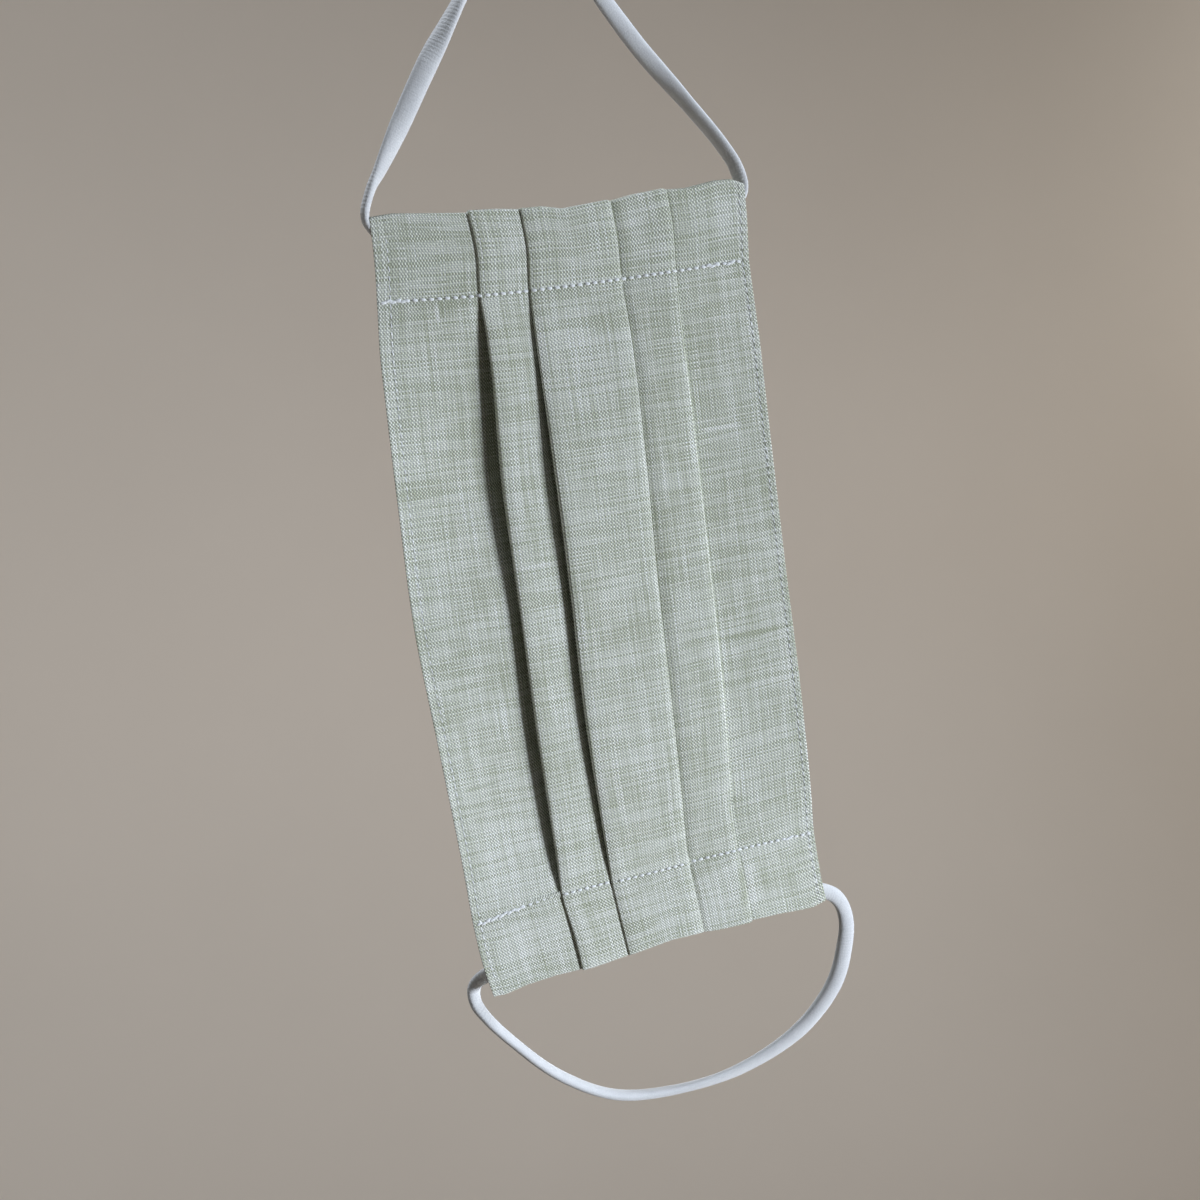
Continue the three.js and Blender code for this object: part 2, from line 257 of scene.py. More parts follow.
LOWER_ROUTE = (
    LoopPoint(0.0, 0.0, -0.0052, 0, 0.0050),
    LoopPoint(0.026, 0.0, -0.0052, 0, 0.0050),
    LoopPoint(0.042, 0.0, -0.0042, 0, 0.0044),
    LoopPoint(0.0476, 0.0001, -0.0018, 6, 0.0038),
    LoopPoint(0.0517, 0.0004, 0.0001, 14, 0.0041),
    LoopPoint(0.0549, 0.0006, 0.0026, 20, 0.0044),
    LoopPoint(0.0569, 0.0009, 0.0064, 18, 0.0047),
    LoopPoint(0.0575, 0.0013, 0.0112, 10, 0.0049),
    LoopPoint(0.0565, 0.0019, 0.0168, 4, 0.0051),
    LoopPoint(0.0523, 0.0035, 0.0283, 2, 0.0053),
    LoopPoint(0.0411, 0.0058, 0.0404, 12, 0.0053),
    LoopPoint(0.0215, 0.0077, 0.0479, 36, 0.0049),
    LoopPoint(0.001, 0.0078, 0.0477, 75, 0.0046),
    LoopPoint(-0.0150, 0.0067, 0.0431, 88, 0.0046),
    LoopPoint(-0.0296, 0.0050, 0.0320, 95, 0.0046),
    LoopPoint(-0.0409, 0.0034, 0.0181, 98, 0.0044),
    LoopPoint(-0.0473, 0.0036, 0.0085, 108, 0.0045),
    LoopPoint(-0.0490, 0.0050, 0.0046, 122, 0.0048),
    LoopPoint(-0.0487, 0.0054, 0.0006, 142, 0.0049),
    LoopPoint(-0.0462, 0.0034, -0.0024, 166, 0.0047),
    LoopPoint(-0.0425, 0.0003, -0.0040, 180, 0.0047),
    LoopPoint(-0.026, 0.0, -0.0052, 180, 0.0050),
)

Array = np.ndarray


def risen(share: Array) -> Array:
    """Eases shares from 0 to 1: 3t^2 - 2t^3."""
    return share * share * (3.0 - 2.0 * share)


def ease(values: Array, low: float | Array, high: float | Array) -> Array:
    """Eases from 0 at low to 1 at high, and stays level outside."""
    return risen(np.clip((values - low) / (high - low), 0.0, 1.0))


def cubic(t: Array, start: Array, end: Array, leaving: Array, arriving: Array) -> Array:
    """Follows a cubic from start to end.

    It is the eased blend of both places, plus the leaving slope times t(1 - t)^2 and the arriving
    slope times t^2(t - 1).

    Args:
        t: shares of the way.
        start: places at 0.
        end: places at 1.
        leaving: slopes at 0, for the whole way.
        arriving: slopes at 1, for the whole way.

    Returns:
        Places.
    """
    blend = start * (1.0 - risen(t)) + end * risen(t)
    return blend + leaving * t * (1.0 - t) ** 2 + arriving * t * t * (t - 1.0)


def smooth_rows(table: Array, at: Array) -> Array:
    """Reads all columns of a table at values of its first column, on a smooth curve.

    Between two rows the curve is the cubic whose slope at each row is that of the chord between
    the rows on either side of it.

    Args:
        table: rows in rising order of the first column.
        at: values of the first column to read at.

    Returns:
        One row of columns for each value.
    """
    key = table[:, 0]
    before = np.vstack([table[:1], table[:-1]])
    after = np.vstack([table[1:], table[-1:]])
    slope = (after - before) / (after[:, :1] - before[:, :1])
    row = np.clip(np.searchsorted(key, at) - 1, 0, len(key) - 2)
    width = (key[row + 1] - key[row])[:, None]
    t = (at - key[row])[:, None] / width
    return cubic(t, table[row], table[row + 1], slope[row] * width, slope[row + 1] * width)


def unit(vectors: Array) -> Array:
    """Scales vectors to length 1 along the last axis."""
    return vectors / np.maximum(np.linalg.norm(vectors, axis=-1, keepdims=True), 1e-12)


class Corners(NamedTuple):
    """Quads of a grid, as the row and column of each corner, counted on past a closed seam."""

    row: Array
    column: Array


def grid_corners(rows: int, columns: int, ring_rows: bool = False, ring_columns: bool = False) -> Corners:
    """Lists the quads of a grid of points.

    Args:
        rows: points one way.
        columns: points the other way.
        ring_rows: whether the last row joins the first.
        ring_columns: whether the last column joins the first.

    Returns:
        The corners, four to a quad.
    """
    row, column = np.meshgrid(
        np.arange(rows if ring_rows else rows - 1),
        np.arange(columns if ring_columns else columns - 1),
        indexing="ij",
    )
    row_step = np.array([0, 1, 1, 0])
    column_step = np.array([0, 0, 1, 1])
    return Corners(row.reshape(-1, 1) + row_step, column.reshape(-1, 1) + column_step)


def volume_of(points: Array, quads: Array) -> float:
    """Adds up the volume that quads enclose: negative where they face inwards.

    Args:
        points: places of the vertices.
        quads: four vertex numbers a face.

    Returns:
        Cubic metres, as the sum of a . (b x c) / 6 over the two triangles of each quad.
    """
    a, b, c, d = (points[quads[:, corner]] for corner in range(4))
    first = (a * np.cross(b, c)).sum()
    second = (a * np.cross(c, d)).sum()
    return float(first + second) / 6.0


def make_piece(
    name: str,
    points: Array,
    quads: Array,
    map_places: Array,
    finish: bpy.types.Material,
) -> bpy.types.Object:
    """Makes a smooth mesh piece, facing outwards, with a surface map in metres.

    Args:
        name: the piece's name.
        points: places of its vertices, shaped (n, 3).
        quads: four vertex numbers a face.
        map_places: the map's place of every face corner, shaped (faces, 4, 2).
        finish: its material.

    Returns:
        The piece, at the origin and riding on the mask's one body.
    """
    if volume_of(points, quads) < 0.0:
        quads = quads[:, ::-1]
        map_places = map_places[:, ::-1]
    mesh = bpy.data.meshes.new(name)
    mesh.from_pydata(points.tolist(), [], quads.tolist())
    layer = mesh.uv_layers.new(name="surface")
    layer.data.foreach_set("uv", map_places.astype(np.float32).ravel())
    mesh.polygons.foreach_set("use_smooth", np.ones(len(quads), bool))
    mesh.materials.append(finish)
    mesh.update()
    piece = bpy.data.objects.new(name, mesh)
    bpy.context.scene.collection.objects.link(piece)
    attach(piece, BODY)
    LOG.info("%s: %d points, %d quads", name, len(points), len(quads))
    return piece


def mark_points(piece: bpy.types.Object, name: str, values: Array) -> None:
    """Stores one number for each vertex of a piece.

    Args:
        piece: the piece.
        name: the attribute's name.
        values: its numbers, in the order of the vertices.
    """
    attribute = piece.data.attributes.new(name, "FLOAT", "POINT")
    attribute.data.foreach_set("value", values.astype(np.float32).ravel())


Socket = bpy.types.NodeSocket
Colour = tuple[float, float, float, float]


def srgb(red: int, green: int, blue: int) -> Colour:
    """Turns an 8-bit display colour into a linear one, by the curve of the sRGB standard."""
    shares = np.array([red, green, blue]) / 255.0
    linear = np.where(shares <= 0.04045, shares / 12.92, ((shares + 0.055) / 1.055) ** 2.4)
    return (float(linear[0]), float(linear[1]), float(linear[2]), 1.0)


class Nodes:
    """Adds shader nodes to one node tree and links them."""

    def __init__(self, tree: bpy.types.NodeTree) -> None:
        """Keeps the tree that nodes are added to."""
        self.tree = tree

    def add(self, kind: str, inputs: dict | None = None, **settings: object) -> bpy.types.Node:
        """Adds one node.

        Args:
            kind: the node's type.
            inputs: sockets to link, or numbers to set, by input name or number.
            settings: properties of the node.

        Returns:
            The node.
        """
        node = self.tree.nodes.new(kind)
        for name, value in settings.items():
            setattr(node, name, value)
        for key, value in (inputs or {}).items():
            if isinstance(value, Socket):
                self.tree.links.new(value, node.inputs[key])
            else:
                node.inputs[key].default_value = value
        return node

    def math(self, operation: str, *values: Socket | float, clamp: bool = False) -> Socket:
        """Adds a Math node on up to three values and returns its result."""
        node = self.add("ShaderNodeMath", dict(enumerate(values)), operation=operation, use_clamp=clamp)
        return node.outputs[0]

    def blend(self, share: Socket | float, first: Socket | Colour, second: Socket | Colour) -> Socket:
        """Mixes two colours by a share and returns the result."""
        # A Mix node has its colours on inputs 6 and 7 and on output 2
        inputs = {0: share, 6: first, 7: second}
        return self.add("ShaderNodeMix", inputs, data_type="RGBA").outputs[2]

    def shade(self, colour: Socket, value: Socket) -> Socket:
        """Multiplies a colour by a value and returns the result."""
        inputs = {0: colour, "Scale": value}
        return self.add("ShaderNodeVectorMath", inputs, operation="SCALE").outputs[0]

    def noise(self, place: Socket, scale: Socket | float, detail: float = 2.0) -> Socket:
        """Adds 3-D noise at a place and returns its value, from 0 to 1 and about 0.5 on average."""
        inputs = {"Vector": place, "Scale": scale, "Detail": detail}
        return self.add("ShaderNodeTexNoise", inputs).outputs[0]

    def place(self, x: Socket | float, y: Socket | float, z: Socket | float) -> Socket:
        """Joins three numbers to a vector."""
        return self.add("ShaderNodeCombineXYZ", {0: x, 1: y, 2: z}).outputs[0]

    def parts(self, vector: Socket) -> tuple[Socket, Socket, Socket]:
        """Splits a vector and returns its three numbers."""
        x, y, z = self.add("ShaderNodeSeparateXYZ", {0: vector}).outputs
        return x, y, z

    def ramp(self, value: Socket, low: float, high: float, to_low: float, to_high: float) -> Socket:
        """Eases a value from to_low at low to to_high at high and returns the result."""
        inputs = {"Value": value, "From Min": low, "From Max": high, "To Min": to_low, "To Max": to_high}
        return self.add("ShaderNodeMapRange", inputs, interpolation_type="SMOOTHSTEP").outputs[0]


class Group:
    """A shader node group with named number sockets, built once and placed in materials."""

    def __init__(self, name: str, inputs: tuple[str, ...], outputs: tuple[str, ...]) -> None:
        """Makes the empty group: its first input is a vector and the others are numbers."""
        self.tree = bpy.data.node_groups.new(name, "ShaderNodeTree")
        for order, label in enumerate(inputs):
            kind = "NodeSocketVector" if order == 0 else "NodeSocketFloat"
            self.tree.interface.new_socket(label, in_out="INPUT", socket_type=kind)
        for label in outputs:
            self.tree.interface.new_socket(label, in_out="OUTPUT", socket_type="NodeSocketFloat")
        self.nodes = Nodes(self.tree)
        self.given = self.nodes.add("NodeGroupInput").outputs
        self.result = self.nodes.add("NodeGroupOutput").inputs

    def put_out(self, label: str, value: Socket) -> None:
        """Links a value to one of the group's outputs."""
        self.tree.links.new(value, self.result[label])

    def used_in(self, nodes: Nodes, inputs: dict) -> bpy.types.Node:
        """Places the group in a material and returns its node."""
        return nodes.add("ShaderNodeGroup", inputs, node_tree=self.tree)


@dataclass(frozen=True)
class PlainWeave:
    """The plain weave of uneven linen yarns.

    wander is in yarns. tone_scale and yarn_apart are steps of the noise along a metre of yarn and
    from yarn to yarn, and the layers keep weft and warp apart in it. The gap between yarns shows
    where the height falls from gap_rim to gap_floor.
    """

    wander_scale: float = 110.0
    wander: float = 1.1
    weft_seed: float = 3.0
    roundness: float = 3.2
    lap: float = 0.1
    tone_scale: float = 48.0
    yarn_apart: float = 7.31
    weft_layer: float = 0.35
    warp_layer: float = 40.35
    weft_contrast: float = 1.7
    warp_contrast: float = 0.7
    gap_floor: float = 0.2
    gap_rim: float = 0.75

    def group(self) -> Group:
        """Builds the weave as a group.

        The place is counted in yarns both ways, with a slow wander. A warp yarn's height is its
        round profile across times a wave along it that is highest in every second cell, a weft
        yarn's is the same with the other cells, and the upper of the two shows. Each yarn has its
        own noise along it. Pairs is the wave of two warp yarns to a dent of the reed, Slant the
        wave that is constant along the diagonal that falls to the right, and Upper is 1 where a
        warp yarn is on top and -1 where a weft yarn is.

        Returns:
            The group: Height, Gap between yarns, Pairs, Slant, Upper, and Tone of the yarn on top.
        """
        inputs = ("Place", "Warp pitch", "Weft pitch")
        group = Group("plain_weave", inputs, ("Height", "Gap", "Pairs", "Slant", "Upper", "Tone"))
        nodes = group.nodes
        place, warp_pitch, weft_pitch = (group.given[label] for label in inputs)
        across, along, _ = nodes.parts(place)
        warp = self.counted(nodes, place, (across, warp_pitch), 0.0)
        weft = self.counted(nodes, place, (along, weft_pitch), self.weft_seed)
        warp_height, warp_number = self.yarn(nodes, warp, weft, 1.0)
        weft_height, weft_number = self.yarn(nodes, weft, warp, -1.0)
        height = nodes.math("MAXIMUM", warp_height, weft_height)
        above = nodes.math("SUBTRACT", warp_height, weft_height)
        upper = nodes.ramp(above, -self.lap, self.lap, 0.0, 1.0)
        weft_tone = self.tone(nodes, (across, weft_number), self.weft_layer, self.weft_contrast)
        warp_tone = self.tone(nodes, (along, warp_number), self.warp_layer, self.warp_contrast)
        change = nodes.math("SUBTRACT", warp_tone, weft_tone)
        slant = nodes.math("MULTIPLY", nodes.math("SUBTRACT", warp, weft), math.pi)
        group.put_out("Height", height)
        group.put_out("Gap", nodes.ramp(height, self.gap_floor, self.gap_rim, 1.0, 0.0))
        group.put_out("Pairs", nodes.math("COSINE", nodes.math("MULTIPLY", warp, math.pi)))
        group.put_out("Slant", nodes.math("COSINE", slant))
        group.put_out("Upper", nodes.math("MULTIPLY_ADD", upper, 2.0, -1.0))
        group.put_out("Tone", nodes.math("MULTIPLY_ADD", change, upper, weft_tone))
        return group

    def counted(self, nodes: Nodes, place: Socket, way: tuple[Socket, Socket], seed: float) -> Socket:
        """Counts yarns along one way, given with its pitch, with a slow wander."""
        moved = {0: place, 1: (seed, seed, seed)}
        aside = nodes.add("ShaderNodeVectorMath", moved, operation="ADD").outputs[0]
        wander = nodes.math("MULTIPLY", nodes.noise(aside, self.wander_scale), self.wander)
        return nodes.math("ADD", nodes.math("DIVIDE", *way), wander)

    def yarn(self, nodes: Nodes, own: Socket, other: Socket, turned: float) -> tuple[Socket, Socket]:
        """Builds one set of yarns.

        Args:
            nodes: the nodes of the group.
            own: the place counted in these yarns.
            other: the place counted in the yarns that they cross.
            turned: 1, or -1 for the set that is on top in the other cells.

        Returns:
            Their height and their numbers.
        """
        number = nodes.math("FLOOR", own)
        off = nodes.math("SUBTRACT", nodes.math("FRACT", own), 0.5)
        square = nodes.math("MULTIPLY", off, off)
        profile = nodes.math("MULTIPLY_ADD", square, -self.roundness, 1.0)
        phase = nodes.math("ADD", nodes.math("SUBTRACT", other, 0.5), number)
        wave = nodes.math("COSINE", nodes.math("MULTIPLY", phase, math.pi))
        lift = nodes.math("MULTIPLY_ADD", wave, turned * 0.5, 0.5)
        return nodes.math("MULTIPLY", profile, lift), number

    def tone(self, nodes: Nodes, run: tuple[Socket, Socket], layer: float, contrast: float) -> Socket:
        """Returns the noise along each yarn, given the place along it and its number."""
        steps = nodes.math("MULTIPLY", run[0], self.tone_scale)
        own = nodes.place(steps, nodes.math("MULTIPLY", run[1], self.yarn_apart), layer)
        return nodes.math("MULTIPLY_ADD", nodes.noise(own, 1.0), contrast, 0.5 - 0.5 * contrast)


PATCH_DETAIL = 3.0
FUZZ_DETAIL = 4.0


def mottle_group() -> Group:
    """Builds the unevenness of fibre: slow patches and a fine fuzz, both about 0 on average.

    Returns:
        The group: Patch and Fuzz.
    """
    group = Group("fibre_mottle", ("Place", "Patches", "Fibres"), ("Patch", "Fuzz"))
    nodes = group.nodes
    for label, scale, detail in (("Patch", "Patches", PATCH_DETAIL), ("Fuzz", "Fibres", FUZZ_DETAIL)):
        value = nodes.noise(group.given["Place"], group.given[scale], detail)
        group.put_out(label, nodes.math("SUBTRACT", value, 0.5))
    return group


def twist_group() -> Group:
    """Builds the twist of sewing thread: a wave round and along it, highest on each ply.

    Returns:
        The group: Height, from 0 between plies to 1 on them.
    """
    group = Group("thread_twist", ("Place", "Ply pitch"), ("Height",))
    nodes = group.nodes
    along, around, _ = nodes.parts(group.given["Place"])
    turn = nodes.math("DIVIDE", nodes.math("ADD", along, around), group.given["Ply pitch"])
    wave = nodes.math("COSINE", nodes.math("MULTIPLY", turn, 2.0 * math.pi))
    group.put_out("Height", nodes.math("MULTIPLY_ADD", wave, 0.5, 0.5))
    return group


class Finish:
    """A material with one Principled shader, to which a finish adds its own nodes."""

    SHEEN_ROUGHNESS = 0.6
    GLOSS = 0.2

    def __init__(self, name: str, roughness: float, sheen: float) -> None:
        """Makes the material, with its constants set on the shader.

        Args:
            name: the material's name.
            roughness: of the surface.
            sheen: weight of the soft sheen of loose fibres.
        """
        self.material = bpy.data.materials.new(name)
        self.material.use_nodes = True
        self.nodes = Nodes(self.material.node_tree)
        self.shader = self.material.node_tree.nodes["Principled BSDF"]
        constants = {
            "Roughness": roughness,
            "Sheen Weight": sheen,
            "Sheen Roughness": self.SHEEN_ROUGHNESS,
            "Specular IOR Level": self.GLOSS,
        }
        for label, value in constants.items():
            self.shader.inputs[label].default_value = value

    def surface_map(self) -> Socket:
        """Returns the piece's own surface map, in metres."""
        return self.nodes.add("ShaderNodeUVMap", uv_map="surface").outputs[0]

    def own_place(self) -> Socket:
        """Returns places in the mask's own frame."""
        return self.nodes.add("ShaderNodeTexCoord").outputs["Object"]

    def uneven(self, mottle: Group, patches: float, fibres: float) -> tuple[Socket, Socket]:
        """Places the shared fibre unevenness at its scales, and returns the patches and the fuzz."""
        inputs = {"Place": self.own_place(), "Patches": patches, "Fibres": fibres}
        result = mottle.used_in(self.nodes, inputs).outputs
        return result["Patch"], result["Fuzz"]

    def mark(self, name: str) -> Socket:
        """Returns a number stored on the piece's vertices."""
        return self.nodes.add("ShaderNodeAttribute", attribute_name=name).outputs["Fac"]

    def colour(self, value: Socket) -> None:
        """Links the base colour."""
        self.nodes.tree.links.new(value, self.shader.inputs["Base Color"])

    def relief(self, height: Socket, depth: float, strength: float) -> None:
        """Links a bump of a given depth to the normal."""
        inputs = {"Height": height, "Distance": depth, "Strength": strength}
        bump = self.nodes.add("ShaderNodeBump", inputs)
        self.nodes.tree.links.new(bump.outputs[0], self.shader.inputs["Normal"])


@dataclass(frozen=True)
class LinenFinish:
    """Sage linen in a plain weave, with slubs, and needle holes along its seams.

    A tint is full up to tint_core of its size from its middle. A hole is full up to hole_core of
    its radius and ends at hole_rim of it. left_holes is how far the holes of the left edge show,
    which changes to 1 between side_blend left and right of the middle. The colour carries painted
    shade in the gaps between yarns and in the needle holes, a painted highlight along the weave's
    diagonal, and painted light and shade on its cells.
    """

    pale: Colour = srgb(237, 237, 227)
    dull: Colour = srgb(181, 184, 160)
    warp_pitch: float = 0.0004
    weft_pitch: float = 0.000463
    yarn_height: float = 0.00012
    yarn_relief: float = 0.5
    brightness: float = 1.12
    yarn_contrast: float = 3.4
    patch_scale: float = 90.0
    patch_contrast: float = 0.7
    gap_shade: float = 0.45
    pair_contrast: float = 0.13
    slant_highlight: float = 0.22
    cell_light_contrast: float = 0.2
    fibre_scale: float = 2600.0
    fuzz_contrast: float = 0.4
    tint_core: float = 0.15
    hole_shade: float = 0.5
    hole_core: float = 0.4
    hole_rim: float = 1.5
    left_holes: float = 0.35
    side_blend: float = 0.01
    roughness: float = 0.9
    sheen: float = 0.1

    def material(self, weave: Group, mottle: Group) -> bpy.types.Material:
        """Builds the material.

        Args:
            weave: the shared plain weave.
            mottle: the shared fibre unevenness.

        Returns:
            The material, for a piece with a surface map and the marks of its seams.
        """
        finish = Finish("sage_linen", self.roughness, self.sheen)
        nodes = finish.nodes
        pitches = {"Warp pitch": self.warp_pitch, "Weft pitch": self.weft_pitch}
        woven = weave.used_in(nodes, {"Place": finish.surface_map(), **pitches}).outputs
        patch, fuzz = finish.uneven(mottle, self.patch_scale, self.fibre_scale)
        hole = self.holes(finish)
        # Painted shade: the colour darkens where the weave's height falls into the gaps between yarns
        shade = nodes.math("MULTIPLY_ADD", woven["Gap"], -self.gap_shade, self.brightness)
        waves = (
            (woven["Pairs"], self.pair_contrast),
            # Painted highlight: a wave along the diagonal that falls to the right, standing in for light on
            # the yarns' twist
            (woven["Slant"], self.slant_highlight),
            # Painted light and shade: cells with a warp yarn on top are lighter than cells with a weft yarn
            # on top, as grazing light falls on them
            (woven["Upper"], self.cell_light_contrast),
            (fuzz, self.fuzz_contrast),
        )
        for wave, contrast in waves:
            shade = nodes.math("MULTIPLY_ADD", wave, contrast, shade)
        # Painted shadow: the colour darkens in the needle holes, on top of their dip in the relief
        shade = nodes.math("MULTIPLY", shade, nodes.math("MULTIPLY_ADD", hole, -self.hole_shade, 1.0))
        finish.colour(nodes.shade(self.cloth_colour(finish, woven["Tone"], patch), shade))
        height = nodes.math("SUBTRACT", woven["Height"], hole)
        finish.relief(height, self.yarn_height, self.yarn_relief)
        return finish.material

    def cloth_colour(self, finish: Finish, tone: Socket, patch: Socket) -> Socket:
        """Blends from dull to pale by the tone of the yarns, the patches and the tints.

        Args:
            finish: the material that it is for.
            tone: the tone of the yarn on top.
            patch: the slow patches of the fibre.

        Returns:
            The colour.
        """
        nodes = finish.nodes
        share = nodes.math("MULTIPLY_ADD", nodes.math("SUBTRACT", tone, 0.5), self.yarn_contrast, 0.5)
        share = nodes.math("MULTIPLY_ADD", patch, self.patch_contrast, share)
        x, _, z = nodes.parts(finish.own_place())
        for tint in TINTS:
            fades = []
            for way, middle, size in ((x, tint.x, tint.wide), (z, tint.z, tint.tall)):
                off = nodes.math("ABSOLUTE", nodes.math("SUBTRACT", way, middle))
                fades.append(nodes.ramp(off, self.tint_core * size, 0.5 * size, 1.0, 0.0))
            share = nodes.math("MULTIPLY_ADD", nodes.math("MULTIPLY", *fades), tint.tone, share)
        return nodes.blend(nodes.math("ADD", share, 0.0, clamp=True), self.dull, self.pale)

    def holes(self, finish: Finish) -> Socket:
        """Builds a mask of all needle holes, 1 in a hole, fainter along the left edge."""
        nodes = finish.nodes
        seam_hole = self.needle_holes(finish, CasingSeam.holes, "across", "seam_gap")
        edge_hole = self.needle_holes(finish, EdgeStitching.holes, "along", "edge_gap")
        across = finish.mark("across")
        tight = nodes.ramp(across, -self.side_blend, self.side_blend, self.left_holes, 1.0)
        return nodes.math("MAXIMUM", seam_hole, nodes.math("MULTIPLY", edge_hole, tight))

    def needle_holes(self, finish: Finish, holes: NeedleHoles, along: str, gap: str) -> Socket:
        """Builds a mask of the holes between the stitches of a seam.

        Args:
            finish: the material that it is for.
            holes: the holes.
            along: the mark that runs along the seam.
            gap: the mark of the distance from it.

        Returns:
            The mask, 1 in a hole.
        """
        nodes = finish.nodes
        turn = nodes.math("FRACT", nodes.math("DIVIDE", finish.mark(along), holes.pitch))
        aside = nodes.math("SUBTRACT", turn, holes.share)
        away = nodes.math("MULTIPLY_ADD", aside, -holes.slant * holes.pitch, finish.mark(gap))
        aside = nodes.math("MULTIPLY", aside, holes.pitch / holes.stretch)
        far = nodes.math("MULTIPLY", away, away)
        reach = nodes.math("SQRT", nodes.math("MULTIPLY_ADD", aside, aside, far))
        core, rim = self.hole_core * holes.radius, self.hole_rim * holes.radius
        return nodes.ramp(reach, core, rim, 1.0, 0.0)


@dataclass(frozen=True)
class ElasticFinish:
    """Soft white knitted elastic with fine ribs across it, darker in their grooves by painted shade.

    base is the share of the bright colour, rib_wander is in ribs, and the reliefs are shares of
    the depth.
    """

    bright: Colour = srgb(236, 235, 233)
    shade: Colour = srgb(208, 207, 207)
    rib: float = 0.00055
    rib_wander: float = 1.6
    rib_shade_contrast: float = 0.03
    rib_relief: float = 0.3
    patch_scale: float = 260.0
    patch_contrast: float = 0.7
    fibre_scale: float = 3000.0
    fuzz_contrast: float = 0.8
    fuzz_relief: float = 7.0
    base: float = 0.55
    depth: float = 0.00003
    strength: float = 0.45
    roughness: float = 0.9
    sheen: float = 0.25

    def material(self, mottle: Group) -> bpy.types.Material:
        """Builds the material: a faint wave along the elastic, and soft fuzz.

        Args:
            mottle: the shared fibre unevenness.

        Returns:
            The material, for a piece whose map runs along and round the elastic.
        """
        finish = Finish("white_elastic", self.roughness, self.sheen)
        nodes = finish.nodes
        along = nodes.parts(finish.surface_map())[0]
        patch, fuzz = finish.uneven(mottle, self.patch_scale, self.fibre_scale)
        wander = nodes.math("MULTIPLY", patch, self.rib_wander)
        turn = nodes.math("ADD", nodes.math("DIVIDE", along, self.rib), wander)
        wave = nodes.math("COSINE", nodes.math("MULTIPLY", turn, 2.0 * math.pi))
        # Painted shade: the rib wave darkens the colour in the grooves between ribs, where its relief is
        # low
        share = nodes.math("MULTIPLY_ADD", wave, self.rib_shade_contrast, self.base)
        share = nodes.math("MULTIPLY_ADD", fuzz, self.fuzz_contrast, share)
        share = nodes.math("MULTIPLY_ADD", patch, self.patch_contrast, share, clamp=True)
        finish.colour(nodes.blend(share, self.shade, self.bright))
        raised = nodes.math("MULTIPLY", fuzz, self.fuzz_relief)
        raised = nodes.math("MULTIPLY_ADD", wave, self.rib_relief, raised)
        finish.relief(raised, self.depth, self.strength)
        return finish.material


@dataclass(frozen=True)
class ThreadFinish:
    """Twisted white sewing thread, darker between its plies by painted shade. base is the share of the
    bright colour between plies.
    """

    bright: Colour = srgb(252, 252, 250)
    shade: Colour = srgb(236, 238, 237)
    ply: float = 0.00032
    ply_shade_contrast: float = 0.6
    patch_scale: float = 300.0
    patch_contrast: float = 0.6
    fibre_scale: float = 4000.0
    base: float = 0.4
    depth: float = 0.00005
    strength: float = 0.3
    roughness: float = 0.75
    sheen: float = 0.1

    def material(self, twist: Group, mottle: Group) -> bpy.types.Material:
        """Builds the material.

        Args:
            twist: the shared twist of thread.
            mottle: the shared fibre unevenness.

        Returns:
            The material, for stitches whose map runs along and round the thread.
        """
        finish = Finish("white_thread", self.roughness, self.sheen)
        nodes = finish.nodes
        inputs = {"Place": finish.surface_map(), "Ply pitch": self.ply}
        plies = twist.used_in(nodes, inputs).outputs["Height"]
        patch, _ = finish.uneven(mottle, self.patch_scale, self.fibre_scale)
        # Painted shade: the colour is darker between the plies, where their relief is low
        share = nodes.math("MULTIPLY_ADD", plies, self.ply_shade_contrast, self.base)
        share = nodes.math("MULTIPLY_ADD", patch, self.patch_contrast, share, clamp=True)
        finish.colour(nodes.blend(share, self.shade, self.bright))
        finish.relief(plies, self.depth, self.strength)
        return finish.material


@dataclass(frozen=True)
class StudioFinish:
    """Plain matt paper of the floor and backdrop."""

    paper: Colour = srgb(224, 210, 194)
    shaded: Colour = srgb(216, 202, 186)
    patch_scale: float = 3.0
    fibre_scale: float = 900.0
    roughness: float = 0.95

    def material(self, mottle: Group) -> bpy.types.Material:
        """Builds the material from the shared fibre unevenness and returns it."""
        finish = Finish("studio_paper", self.roughness, 0.0)
        patch, _ = finish.uneven(mottle, self.patch_scale, self.fibre_scale)
        share = finish.nodes.math("ADD", patch, 0.5, clamp=True)
        finish.colour(finish.nodes.blend(share, self.shaded, self.paper))
        return finish.material


class Stations(NamedTuple):
    """Rows of the panel from the top flap's edge over both turned ends to the bottom flap's edge.

    fall is the distance from the row's own end edge, angle runs round the tunnel from half a turn
    at the flap to 0 at the front, closing is how far the flap has come in, and bottom is 1 on the
    lower half.
    """

    fall: Array
    angle: Array
    closing: Array
    bottom: Array


class Path(NamedTuple):
    """Centre line of cross-sections, shaped (rows, points), and which points show from outside."""

    across: Array
    depth: Array
    shows: Array


class Fold(NamedTuple):
    """One visible fold: its pleat, and how it lies in each row.

    across is its place, opened how far its pleat stands open, level its depth, low that of the
    strip that goes under it, and sink how far that strip drops behind it.
    """

    pleat: Pleat
    across: Array
    opened: Array
    level: Array
    low: Array
    sink: Array


class Strip(NamedTuple):
    """One strip that shows: its ends across, its level at each, and its points as shares between.

    under is the fold that it goes under, and bulge is four times how far it curves outwards.
    """

    start: Array
    end: Array
    first: Array
    last: Array
    shares: Array
    under: Fold | None = None
    bulge: Array | float = 0.0


